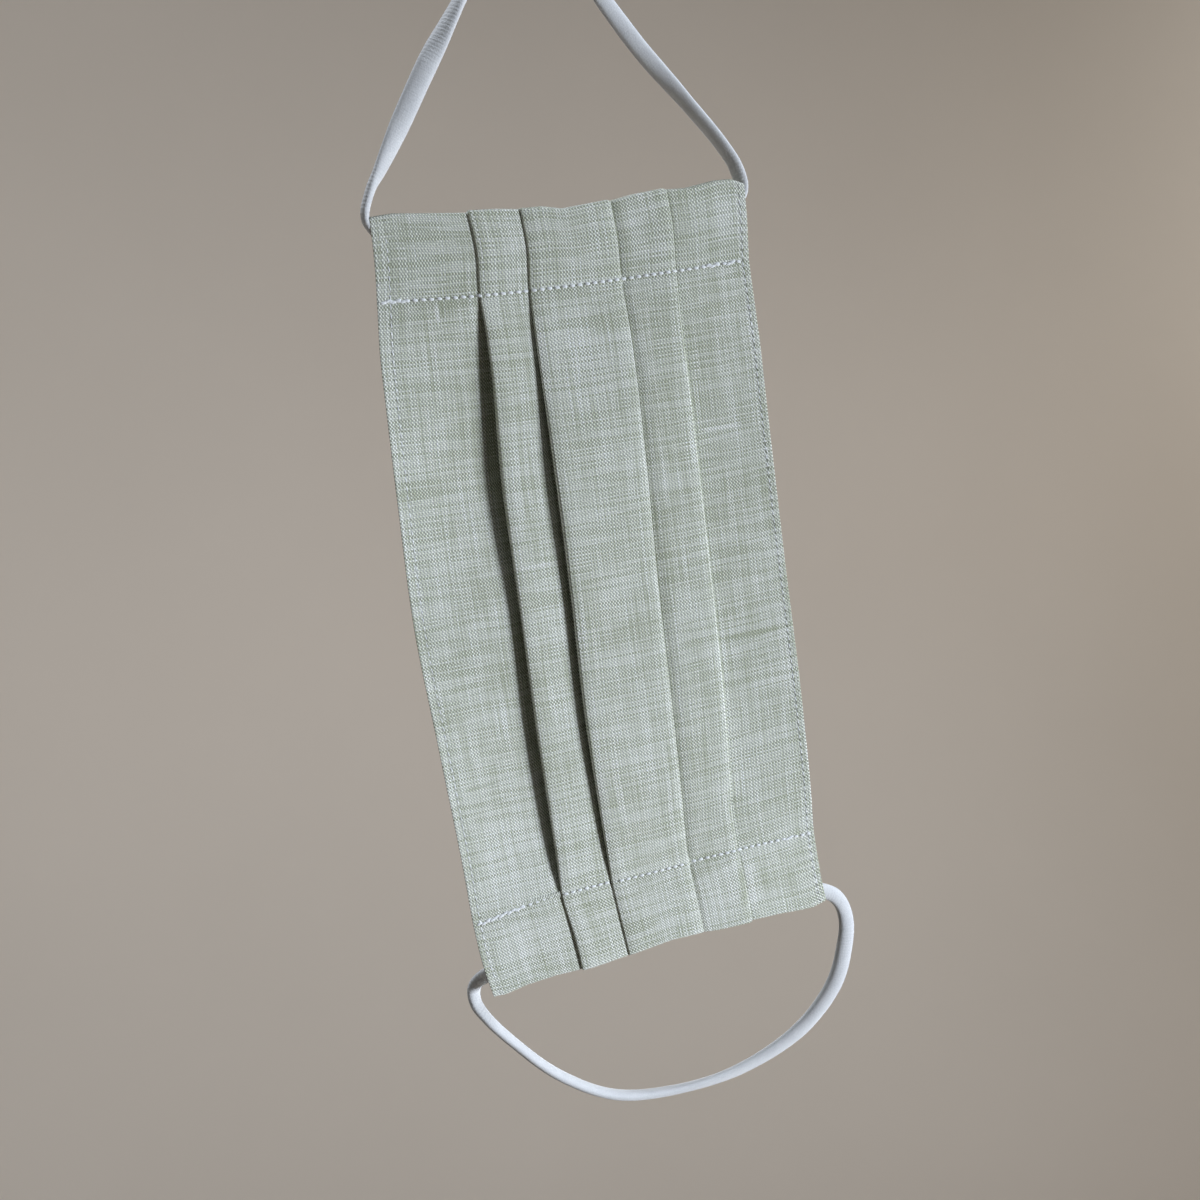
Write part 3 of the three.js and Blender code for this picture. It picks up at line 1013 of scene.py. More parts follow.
@dataclass(frozen=True)
class PanelMesh:
    """How finely the panel is drawn: points across each part of a section, and rows along it.

    The outer strips have points up to outer_end of their width, close together in the hem_share
    next to the edge, and the other strips up to ramp_end and layer_end. Rows lie close together
    from seam_above to seam_below, either side of a casing seam; the wider ones start turn_margin
    from a turned end, and end or start at seam_margin and seam_past.
    """

    tip_points: int = 6
    fold_points: int = 9
    under_points: int = 6
    over_points: int = 10
    over_crowding: float = 1.4
    hem_points: int = 12
    hem_share: float = 0.19
    outer_points: int = 22
    outer_end: float = 0.985
    layer_points: int = 4
    layer_end: float = 0.85
    ramp_points: int = 9
    ramp_end: float = 0.98
    centre_points: int = 12
    rim_points: int = 4
    flap_rows: tuple[int, int] = (8, 12)
    turn_rows: int = 9
    front_rows: tuple[int, int, int] = (16, 13, 50)
    turn_margin: float = 0.0005
    flap_close: float = 0.001
    seam_margin: float = 0.002
    seam_above: float = 0.0016
    seam_below: float = 0.0018
    seam_past: float = 0.003


@dataclass
class PleatedPanel:
    """The lined linen panel: five strips, four pleats and a casing at each end.

    hang_drop is how far its top edge lies below the hang point, and twist the slope at both ends
    of its turn about the middle line. The cloth droops over droop_reach at a fold, and the first
    strip curves by outer_curve of its drop. A flap comes in from tunnel_floor to casing_depth, up
    to flap_gap from the layer before it, and ends flap_lap past its seam. wrinkle is the height of
    low creases: waves with random turns a metre, across and along, that fade in over wrinkle_falls
    from an end edge. weft_bow is how far the weft yarns hang at bow_reach from the middle line.
    """

    node: str = "pleated_panel"
    length: float = 0.190
    hang_drop: float = 0.062
    cloth: float = 0.0003
    layer_gap: float = 0.00004
    twist: float = 0.035
    tuck_depth: float = 0.007
    strip_margin: float = 0.0009
    open_rounding: float = 0.0003
    droop: float = 0.00025
    droop_reach: float = 0.0024
    outer_curve: float = 0.8
    casing_depth: float = 0.0195
    flap_lap: float = 0.002
    flap_gap: float = 0.0001
    flap_inset: float = 0.0012
    tunnel_half_height: float = 0.0017
    tunnel_floor: float = 0.0085
    turn_sharpness: float = 0.25
    left_hem: Hem = Hem(0.0031, 0.0015, 0.00004)
    right_hem: Hem = Hem(0.0016, 0.0018, -0.00004)
    hem_groove: float = 0.00005
    groove_width: float = 0.0005
    pucker: float = 0.00016
    pucker_width: float = 0.0011
    wrinkle: float = 0.00024
    wrinkle_count: int = 7
    wrinkle_turns: tuple[float, float] = (110.0, 120.0)
    wrinkle_falls: tuple[float, float] = (0.006, 0.03)
    wrinkle_seed: int = 11
    weft_bow: float = 0.0012
    bow_reach: float = 0.047
    flat_size: tuple[float, float] = (0.150, 0.236)
    mesh: PanelMesh = PanelMesh()

    def __post_init__(self) -> None:
        """Works out the sizes that follow from the others, and the mesh's points."""
        self.pitch = self.cloth + self.layer_gap
        self.fold_radius = self.pitch / 2.0
        self.top_layer = 2.0 * self.pitch
        self.back_radius = self.tunnel_half_height + self.cloth / 2.0
        self.turn_fall = self.turn_sharpness * (self.back_radius + self.pitch)
        self.stations = self.all_stations()
        fall = self.stations.fall
        self.drop = np.where(self.stations.bottom > 0, self.length - fall, fall)
        self.at = self.sections(self.drop)
        self.path = self.section_path(self.at)
        self.outer = self.place(self.offset(0.5 * self.cloth))
        self.inner = self.place(self.offset(-0.5 * self.cloth))

    def half_stations(self) -> tuple[Array, Array, Array]:
        """Lists the rows of half of the panel, from the flap's free edge to mid-length.

        Returns:
            Their fall, angle and closing. Rows lie close together at the seam.
        """
        mesh, seam = self.mesh, self.casing_depth
        first = self.turn_fall + mesh.turn_margin
        flap = np.concatenate(
            [
                np.linspace(seam + self.flap_lap, seam - mesh.flap_close, mesh.flap_rows[0]),
                np.linspace(seam - mesh.seam_margin, first, mesh.flap_rows[1]),
            ]
        )
        turn = np.full(mesh.turn_rows, self.turn_fall)
        front = np.concatenate(
            [
                np.linspace(first, seam - mesh.seam_margin, mesh.front_rows[0]),
                np.linspace(seam - mesh.seam_above, seam + mesh.seam_below, mesh.front_rows[1]),
                np.linspace(seam + mesh.seam_past, self.length / 2.0, mesh.front_rows[2]),
            ]
        )
        fall = np.concatenate([flap, turn, front])
        angle = np.concatenate(
            [np.full(len(flap), math.pi), np.linspace(math.pi, 0.0, len(turn)), np.zeros(len(front))]
        )
        closed = ease(flap, self.tunnel_floor, self.casing_depth)
        reach = 2.0 * self.tunnel_half_height - self.flap_gap
        closing = np.concatenate([reach * closed, np.zeros(len(turn) + len(front))])
        return fall, angle, closing

    def all_stations(self) -> Stations:
        """Joins both halves of the panel at mid-length."""
        fall, angle, closing = self.half_stations()
        count = len(fall)
        both = [np.concatenate([part, part[-2::-1]])[:, None] for part in (fall, angle, closing)]
        bottom = (np.arange(2 * count - 1) >= count)[:, None].astype(float)
        return Stations(*both, bottom)

    def sections(self, drop: Array) -> dict[str, Array]:
        """Reads the columns of the section table at drops below the top edge."""
        rows = smooth_rows(np.array(SECTIONS), drop[:, 0])
        columns = {name: rows[:, order, None] for order, name in enumerate(Section._fields)}
        for name in ("gap1", "gap2", "open"):
            columns[name] = np.maximum(columns[name], 0.0)
        return columns

    def folds(self, at: dict[str, Array]) -> list[Fold]:
        """Works out how the four folds lie, from the columns of the section table."""
        front = 1.0 - self.stations.angle / math.pi
        columns = (("fold1", "gap1"), ("fold2", "gap2"), ("fold3", "open"), ("fold4", "open"))
        folds = []
        for pleat, (across, gap) in zip(PLEATS, columns):
            opened = at[gap]
            level = self.top_layer + pleat.rise * opened
            sink = front * (pleat.press + pleat.sink * opened)
            folds.append(Fold(pleat, at[across], opened, level, pleat.low * opened, sink))
        return folds

    def pleat_path(self, fold: Fold, slope: Array) -> Path:
        """Traces one pleat from the strip on its left to the strip on its right.

        The tip of the tuck and the visible fold are half circles. Between them the cloth eases
        from one to the other, and past the fold it follows the slope of its strip, less a droop
        that falls with the square of the distance. A tuck that runs left is the mirror image,
        traced the other way.

        Args:
            fold: the visible fold.
            slope: how fast its strip rises away from it in each row.

        Returns:
            The centre line.
        """
        mesh = self.mesh
        place = fold.across * fold.pleat.tuck.value
        radius = self.fold_radius + self.open_rounding * fold.opened
        turn = np.linspace(0.0, math.pi, mesh.tip_points)[None, :]
        tip_across = place + self.tuck_depth - self.fold_radius * (1.0 - np.sin(turn))
        tip_depth = fold.low - fold.sink + self.fold_radius * (1.0 - np.cos(turn))
        round_fold = np.linspace(0.0, math.pi, mesh.fold_points)[None, :]
        edge_across = place + radius * (1.0 - np.sin(round_fold))
        edge_depth = fold.level - self.droop - radius * (1.0 + np.cos(round_fold))
        share = np.linspace(0.0, 1.0, mesh.under_points)[None, 1:-1]
        eased = risen(share)
        under_across = tip_across[:, -1:] * (1.0 - share) + edge_across[:, :1] * share
        under_depth = tip_depth[:, -1:] * (1.0 - eased) + edge_depth[:, :1] * eased
        share = np.linspace(0.0, 1.0, mesh.over_points)[None, 1:] ** mesh.over_crowding
        over_across = edge_across[:, -1:] * (1.0 - share) + (place + self.tuck_depth) * share
        near = np.clip(1.0 - (over_across - edge_across[:, -1:]) / self.droop_reach, 0.0, 1.0)
        over_depth = fold.level + slope * (over_across - place) - self.droop * near**2
        across = np.hstack([tip_across, under_across, edge_across, over_across])
        depth = np.hstack([tip_depth, under_depth, edge_depth, over_depth])
        hidden = tip_across.shape[1] + under_across.shape[1] + edge_across.shape[1] // 2
        shows = np.arange(across.shape[1]) >= hidden
        if fold.pleat.tuck is Tuck.LEFT:
            return Path(-across[:, ::-1], depth[:, ::-1], shows[::-1])
        return Path(across, depth, shows)

    def tucked(self, fold: Fold) -> Path:
        """Traces the layer behind a fold, which ends at the tip of its tuck."""
        share = np.linspace(0.0, self.mesh.layer_end, self.mesh.layer_points)
        way = fold.pleat.tuck.value
        across = (fold.across + way * (self.tuck_depth - self.fold_radius) * share)[:, ::way]
        return Path(across, np.broadcast_to(fold.low - fold.sink, across.shape), np.full(len(share), False))

    def strip_path(self, strip: Strip) -> Path:
        """Traces a strip that shows.

        It runs from its first level to its last, and where it goes under a fold it drops behind it
        with the square of the distance left.

        Args:
            strip: the strip.

        Returns:
            The centre line.
        """
        share = strip.shares[None, :]
        across = strip.start + (strip.end - strip.start) * share
        depth = strip.first * (1.0 - share) + strip.last * share + strip.bulge * share * (1.0 - share)
        if strip.under is not None:
            curl = strip.under.pleat.curl * (1.0 + strip.under.opened)
            near = np.clip(1.0 - np.abs(across - strip.under.across) / curl, 0.0, 1.0)
            depth = depth - strip.under.sink * near**2
        return Path(across, depth, np.full(len(strip.shares), True))

    def section_path(self, at: dict[str, Array]) -> Path:
        """Traces whole cross-sections, left edge to right edge.

        depth is measured outwards from the middle of the back layer. Each strip runs from its level
        at one fold to its level at the next.

        Args:
            at: columns of the section table, one row for each station.

        Returns:
            The centre line.
        """
        mesh = self.mesh
        folds = self.folds(at)
        fold1, fold2, fold3, fold4 = folds
        slope_b = (fold2.low - fold1.level) / (fold2.across - fold1.across)
        slope_c = (fold3.level - fold2.level) / (fold3.across - fold2.across)
        slope_d = (fold4.level - fold3.low) / (fold4.across - fold3.across)
        slopes = (slope_b, slope_c, -slope_c, -slope_d)
        hem = np.linspace(0.0, mesh.hem_share, mesh.hem_points)
        beside = np.linspace(mesh.hem_share, mesh.outer_end, mesh.outer_points)[1:]
        outer = np.concatenate([hem, beside])
        ramp = np.linspace(0.0, mesh.ramp_end, mesh.ramp_points)
        centre = np.linspace(0.0, 1.0, mesh.centre_points)
        flat = np.zeros_like(fold1.low)
        bulge = self.outer_curve * fold1.low
        reach = self.tuck_depth + self.strip_margin
        after1, after2 = fold1.across + reach, fold2.across + reach
        before3, before4 = fold3.across - reach, fold4.across - reach
        rise_b, rise_c, rise_d = slope_b * reach, slope_c * reach, slope_d * reach
        strips = (
            Strip(at["left"], fold1.across, flat, fold1.low, outer, fold1, bulge),
            Strip(after1, fold2.across, fold1.level + rise_b, fold2.low, ramp, fold2),
            Strip(after2, before3, fold2.level + rise_c, fold3.level - rise_c, centre),
            Strip(fold3.across, before4, fold3.low, fold4.level - rise_d, 1.0 - ramp[::-1], fold3),
            Strip(fold4.across, at["right"], fold4.low, flat, 1.0 - outer[::-1], fold4),
        )
        parts = [self.strip_path(strips[0])]
        for fold, slope, strip in zip(folds, slopes, strips[1:]):
            joint = [self.tucked(fold), self.pleat_path(fold, slope)]
            parts += joint[:: fold.pleat.tuck.value]
            parts.append(self.strip_path(strip))
        across = np.hstack([part.across for part in parts])
        depth = np.hstack([part.depth for part in parts])
        shows = np.concatenate([part.shows for part in parts])
        return Path(across, depth + self.relief(across, at), shows)

    def seam_depth(self, across: Array, end: End) -> Array:
        """Depth of a casing seam below its own end edge, at places across."""
        table = np.array(TOP_SEAM if end is End.TOP else BOTTOM_SEAM)
        return smooth_rows(table, np.ravel(across))[:, 1].reshape(np.shape(across))

    def seam_gap(self, across: Array) -> Array:
        """Distance of each point along the panel from the seam of its own end."""
        top = self.stations.fall - self.seam_depth(across, End.TOP)
        bottom = self.stations.fall - self.seam_depth(across, End.BOTTOM)
        return np.where(self.stations.bottom > 0, bottom, top)

    def relief(self, across: Array, at: dict[str, Array]) -> Array:
        """Low relief of the cloth, the same for all its layers.

        It is the sum of a few slow waves for handling creases, a dip along each casing seam, and
        at each long edge a hem that rises outwards from the groove of its top-stitching.

        Args:
            across: places across, shaped (rows, points).
            at: columns of the section table.

        Returns:
            Depths, outwards.
        """
        waves = np.random.default_rng(self.wrinkle_seed)
        most_x, most_z = self.wrinkle_turns
        creases = np.zeros_like(across)
        for _ in range(self.wrinkle_count):
            turn_x, turn_z = waves.uniform(-most_x, most_x), waves.uniform(-most_z, most_z)
            creases += np.cos(turn_x * across + turn_z * self.drop + waves.uniform(0.0, 2.0 * math.pi))
        creases *= self.wrinkle / self.wrinkle_count * ease(self.stations.fall, *self.wrinkle_falls)
        dip = -self.pucker * np.exp(-((self.seam_gap(across) / self.pucker_width) ** 2))
        hems = np.zeros_like(across)
        for side, edge in ((Side.LEFT, across - at["left"]), (Side.RIGHT, at["right"] - across)):
            width = self.hem_width(side, self.drop)
            hems += self.hem(side).rise * np.clip(1.0 - edge / width, 0.0, 1.0)
            hems -= self.hem_groove * np.exp(-(((edge - width) / self.groove_width) ** 2))
        return creases + dip + hems

    def hem(self, side: Side) -> Hem:
        """Returns the hem of a long edge."""
        return self.left_hem if side is Side.LEFT else self.right_hem

    def hem_width(self, side: Side, drop: Array) -> Array:
        """Width of the hem along a long edge, at distances below the top edge."""
        hem = self.hem(side)
        return hem.top + (hem.bottom - hem.top) * drop / self.length

    def offset(self, distance: float) -> Path:
        """Moves the centre line along its own normal in the plane of each section."""
        steps = np.stack([np.diff(self.path.across, axis=1), np.diff(self.path.depth, axis=1)], axis=-1)
        steps = unit(steps)
        run = np.concatenate([steps[:, :1], steps[:, :-1] + steps[:, 1:], steps[:, -1:]], axis=1)
        run = unit(run)
        run_across, run_depth = run[..., 0], run[..., 1]
        across = self.path.across - distance * run_depth
        depth = self.path.depth + distance * run_across
        return Path(across, depth, self.path.shows)

    def end_reach(self, path: Path) -> Array:
        """How far each point's turned end is moved along the panel to give the end edges' outline."""
        raised = []
        for end, table in ((End.TOP, TOP_EDGE), (End.BOTTOM, BOTTOM_EDGE)):
            row = self.path_at_end(end)
            edge = np.array(table)
            top = np.interp(path.across, row.across[0][row.shows], row.depth[0][row.shows])
            wanted = np.interp(path.across, edge[:, 0], edge[:, 1])
            radius = self.back_radius + np.maximum(top + self.cloth / 2.0, path.depth)
            raised.append(self.turn_fall + wanted - self.turn_sharpness * radius)
        return np.where(self.stations.bottom > 0, raised[1], raised[0])

    def path_at_end(self, end: End) -> Path:
        """Cross-section of the row at an end edge."""
        middle = len(self.stations.fall) // 2
        turns = np.abs(self.stations.angle[:, 0] - math.pi / 2.0)
        rows = slice(0, middle) if end is End.TOP else slice(middle, None)
        row = int(np.argmin(turns[rows])) + (0 if end is End.TOP else middle)
        return Path(self.path.across[row : row + 1], self.path.depth[row : row + 1], self.path.shows)

    def place(self, path: Path) -> Array:
        """Places (across, depth) points in space.

        A point lies at its depth outside the tunnel's wall, turned round the tunnel by its row's
        angle on an oval that is turn_sharpness as long as it is high. Then the panel is twisted
        about its middle line.

        Args:
            path: points of every row.

        Returns:
            Places, shaped (rows, points, 3).
        """
        rows = self.stations
        radius = self.back_radius + path.depth
        at_end = 1.0 - ease(rows.fall, self.turn_fall, self.casing_depth)
        raised = self.end_reach(path) * at_end
        fall = rows.fall - raised - self.turn_sharpness * radius * np.sin(rows.angle)
        back = -radius * np.cos(rows.angle) - rows.closing
        drop = np.where(rows.bottom > 0, self.length - fall, fall)
        inset = self.flap_inset * ease(rows.angle, 0.0, math.pi) / np.max(np.abs(path.across))
        across = path.across * (1.0 - inset)
        return np.stack([across, back + self.twisted(across, drop), -self.hang_drop - drop], axis=-1)

    def twisted(self, across: Array, drop: Array) -> Array:
        """How far back the twist moves a place: its right half forwards at the top, back below."""
        return self.twist * across * np.clip(2.0 * drop / self.length - 1.0, -1.0, 1.0)

    def rim(self, side: Side) -> Array:
        """Rounds a long edge: points of a half circle from the outer to the inner face."""
        edge, beside = (0, 1) if side is Side.LEFT else (-1, -2)
        outer, inner = self.outer[:, edge], self.inner[:, edge]
        middle = 0.5 * (outer + inner)
        outwards = unit(outer - self.outer[:, beside])
        turn = np.linspace(0.0, math.pi, self.mesh.rim_points + 2)[1:-1, None, None]
        half = 0.5 * (outer - inner)
        bulge = outwards * 0.5 * self.cloth
        return np.moveaxis(middle + half * np.cos(turn) + bulge * np.sin(turn), 0, 1)

    def build(self, finish: bpy.types.Material) -> bpy.types.Object:
        """Builds the panel as one closed sheet.

        Each row is a closed line: the outer face from left to right, round the right edge, the
        inner face back to the left and round the left edge. The rows at both flap edges are
        closed by pairing the outer face with the inner one.

        Args:
            finish: the linen.

        Returns:
            The piece, which stands for the panel's solid.
        """
        rows, columns = self.path.across.shape
        caps = self.mesh.rim_points
        right_rim = self.rim(Side.RIGHT)
        left_rim = self.rim(Side.LEFT)[:, ::-1]
        line = np.concatenate([self.outer, right_rim, self.inner[:, ::-1], left_rim], axis=1)
        around = line.shape[1]
        corners = grid_corners(rows, around, ring_columns=True)
        quads = corners.row * around + corners.column % around
        first, second = np.arange(columns - 1), 2 * columns + caps - 1 - np.arange(columns - 1)
        wall = np.stack([first, first + 1, second - 1, second], axis=1)
        fan = np.arange(caps // 2)
        right_fan = np.stack(
            [columns - 1 + fan, columns + fan, columns + caps - 1 - fan, columns + caps - fan], axis=1
        )
        left_fan = (right_fan + columns + caps) % around
        cap = np.vstack([wall, right_fan, left_fan])
        foot = (rows - 1) * around
        quads = np.vstack([quads, cap, foot + cap[:, ::-1]])
        map_points = self.cloth_map(line)
        piece = make_piece("linen_panel", line.reshape(-1, 3), quads, map_points[quads], finish)
        across = line[:, :, 0]
        mark_points(piece, "seam_gap", self.seam_gap(across))
        mark_points(piece, "across", across)
        left_line = self.at["left"] + self.hem_width(Side.LEFT, self.drop)
        right_line = self.at["right"] - self.hem_width(Side.RIGHT, self.drop)
        mark_points(piece, "edge_gap", across - np.where(across < 0.0, left_line, right_line))
        mark_points(piece, "along", np.broadcast_to(self.drop, across.shape))
        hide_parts(self.node)
        return piece

    def cloth_map(self, line: Array) -> Array:
        """Maps the cloth in metres: across it, as at mid-length, and along it from the top flap.

        Args:
            line: places of the rows' closed lines.

        Returns:
            One map place for each vertex.
        """
        rows, columns = self.path.across.shape
        middle = rows // 2
        steps = np.hypot(np.diff(self.path.across[middle]), np.diff(self.path.depth[middle]))
        across = np.concatenate([[0.0], np.cumsum(steps)])
        rim = np.ones(self.mesh.rim_points)
        around = np.concatenate([across, rim * across[-1], across[::-1], rim * across[0]])
        centre = 0.5 * (self.outer[:, columns // 2] + self.inner[:, columns // 2])
        lengths = np.linalg.norm(np.diff(centre, axis=0), axis=1)
        along = np.concatenate([[0.0], np.cumsum(lengths)])[:, None]
        bow = self.weft_bow * (line[:, :, 0] / self.bow_reach) ** 2
        return np.stack([np.broadcast_to(around, bow.shape), along + bow], axis=-1).reshape(-1, 2)

    def surface_places(self, end: End, flap: bool, across: Array, fall: Array) -> Array:
        """Finds places on the outer face of the cloth in one half of the panel.

        Args:
            end: the end of that half.
            flap: whether on the flap behind it.
            across: places across.
            fall: distances from the end edge.

        Returns:
            Places, shaped as across with a last axis of 3.
        """
        rows = self.stations
        half = rows.bottom[:, 0] == (1.0 if end is End.BOTTOM else 0.0)
        face = rows.angle[:, 0] == (math.pi if flap else 0.0)
        chosen = np.flatnonzero(half & face)
        chosen = chosen[np.argsort(rows.fall[chosen, 0])]
        falls = rows.fall[chosen, 0]
        shown = self.outer[:, self.path.shows]
        backs = np.stack([np.interp(across, shown[row, :, 0], shown[row, :, 1]) for row in chosen])
        low = np.clip(np.searchsorted(falls, fall) - 1, 0, len(falls) - 2)
        share = (fall - falls[low]) / (falls[low + 1] - falls[low])
        each = np.arange(len(across))
        back = backs[low, each] * (1.0 - share) + backs[low + 1, each] * share
        drop = fall if end is End.TOP else self.length - fall
        return np.stack([across, back, -self.hang_drop - drop], axis=-1)

    def edge(self, side: Side, drop: Array) -> Array:
        """Reads the place across of a long edge, at distances below the top edge."""
        return self.sections(drop[:, None])[side.value][:, 0]


@dataclass
class Stitching:
    """Rows of sewing-thread stitches, each an arched thread that dives into the cloth at its ends.

    thread is its width, as pressed into the cloth, and flatness its height as a share of that. A
    stitch's ends lie below the cloth by dive of its rise, and are tip of its width.
    """

    name: str
    thread: float
    rise: float
    flatness: float = 0.45
    dive: float = 0.6
    tip: float = 0.5
    rings: int = 7
    sides: int = 8

    def build(self, starts: Array, ends: Array, out: Array, finish: bpy.types.Material) -> bpy.types.Object:
        """Builds all stitches as one mesh.

        A stitch's centre runs from start to end, raised with the sine of the share passed; its
        radius shrinks to tip at both ends. A ring of points goes round each step.

        Args:
            starts: where stitches leave the cloth, shaped (n, 3).
            ends: where they enter it.
            out: the way out of the cloth there.
            finish: the thread.

        Returns:
            The piece.
        """
        share = np.linspace(0.0, 1.0, self.rings)[None, :, None]
        bow = np.sin(math.pi * share)
        centre = starts[:, None] * (1.0 - share) + ends[:, None] * share
        centre = centre + out[:, None] * (self.rise * ((1.0 + self.dive) * bow - self.dive))
        along = unit(ends - starts)[:, None, None]
        aside = unit(np.cross(along, out[:, None, None]))
        above = np.cross(aside, along)
        radius = 0.5 * self.thread * (self.tip + (1.0 - self.tip) * np.sqrt(bow))[:, :, None]
        turn = np.linspace(0.0, 2.0 * math.pi, self.sides, endpoint=False)[None, None, :, None]
        around = aside * np.cos(turn) + above * self.flatness * np.sin(turn)
        points = centre[:, :, None] + radius * around
        count = len(starts)
        corners = grid_corners(self.rings, self.sides, ring_columns=True)
        quads = corners.row * self.sides + corners.column % self.sides
        ring = np.arange(self.sides // 2 - 1)
        lid = np.stack([ring, ring + 1, self.sides - 2 - ring, self.sides - 1 - ring], axis=1)
        foot = (self.rings - 1) * self.sides
        quads = np.vstack([quads, lid, foot + lid[:, ::-1]])
        each = self.rings * self.sides
        every = (np.arange(count)[:, None, None] * each + quads).reshape(-1, 4)
        long = np.linalg.norm(ends - starts, axis=1)[:, None, None] * share[:, :, 0, None]
        around = np.broadcast_to(turn[..., 0] * 0.5 * self.thread, points.shape[:3])
        maps = np.stack([np.broadcast_to(long, around.shape), around], axis=-1).reshape(-1, 2)
        return make_piece(self.name, points.reshape(-1, 3), every, maps[every], finish)


@dataclass
class CasingSeam:
    """The rows of white stitches that close both casings, sewn over twice at their ends."""

    holes: NeedleHoles = NeedleHoles(0.0019, 0.34, 0.0002, 1.3, 0.0)
    pitch: float = 0.0019
    dash: float = 0.0013
    slant: float = -0.0002
    thread: float = 0.00074
    rise: float = 0.00006
    margin: float = 0.0008
    bar_pitch: float = 0.00114
    bar_dash: float = 0.0015
    bar_rows: float = 0.00018
    bar_slant: float = 0.0003

    def build(self, panel: PleatedPanel, finish: bpy.types.Material) -> bpy.types.Object:
        """Builds the stitches of both seams, on the front and on the flaps.

        Args:
            panel: the panel that they are sewn through.
            finish: the thread.

        Returns:
            The piece.
        """
        starts, ends, outs = [], [], []
        for end in End:
            depth = panel.casing_depth if end is End.TOP else panel.length - panel.casing_depth
            left, right = (panel.edge(side, np.array([depth]))[0] for side in Side)
            first = math.ceil((left + self.margin) / self.pitch)
            last = math.floor((right - self.margin) / self.pitch)
            row = (np.arange(first, last) + 0.5) * self.pitch
            bars = TOP_BARS if end is End.TOP else BOTTOM_BARS
            doubled = np.concatenate([np.arange(start, stop, self.bar_pitch) for start, stop in bars])
            aside = self.bar_rows * np.where(np.arange(len(doubled)) % 2 == 0, 1.0, -1.0)
            across = np.concatenate([row, doubled])
            shift = np.concatenate([np.zeros(len(row)), aside])
            lean = np.concatenate([np.full(len(row), self.slant), np.full(len(doubled), self.bar_slant)])
            dash = np.concatenate([np.full(len(row), self.dash), np.full(len(doubled), self.bar_dash)])
            tilt = 0.5 * lean * (1.0 if end is End.TOP else -1.0)
            for flap in (False, True):
                seam = panel.seam_depth(across, end) + shift
                starts.append(panel.surface_places(end, flap, across, seam + tilt))
                seam = panel.seam_depth(across + dash, end) + shift
                ends.append(panel.surface_places(end, flap, across + dash, seam - tilt))
                outs.append(np.tile([0.0, 1.0 if flap else -1.0, 0.0], (len(across), 1)))
        stitching = Stitching("casing_stitches", self.thread, self.rise)
        return stitching.build(np.vstack(starts), np.vstack(ends), np.vstack(outs), finish)


@dataclass
class EdgeStitching:
    """The top-stitching along the hems of both long edges."""

    holes: NeedleHoles = NeedleHoles(0.0021, 0.80, 0.00026, 2.8, 0.5)
    pitch: float = 0.0021
    dash: float = 0.0013
    slant: float = 0.0003
    thread: float = 0.0003
    rise: float = 0.00006
    margin: float = 0.0042

    def build(self, panel: PleatedPanel, finish: bpy.types.Material) -> bpy.types.Object:
        """Builds the stitches of both edges.

        Args:
            panel: the panel that they are sewn through.
            finish: the thread.

        Returns:
            The piece.
        """
        starts, ends = [], []
        row = np.arange(self.margin, panel.length - self.margin, self.pitch)
        for side in Side:
            inwards = 1.0 if side is Side.LEFT else -1.0
            for end in End:
                half = row[(row < panel.length / 2.0) == (end is End.TOP)]
                for places, run, lean in ((starts, 0.0, -0.5), (ends, self.dash, 0.5)):
                    drop = half + run
                    seam = panel.edge(side, drop) + inwards * panel.hem_width(side, drop)
                    fall = drop if end is End.TOP else panel.length - drop
                    places.append(panel.surface_places(end, False, seam + lean * self.slant, fall))
        first, last = np.vstack(starts), np.vstack(ends)
        out = np.tile([0.0, -1.0, 0.0], (len(first), 1))
        return Stitching("edge_stitches", self.thread, self.rise).build(first, last, out, finish)


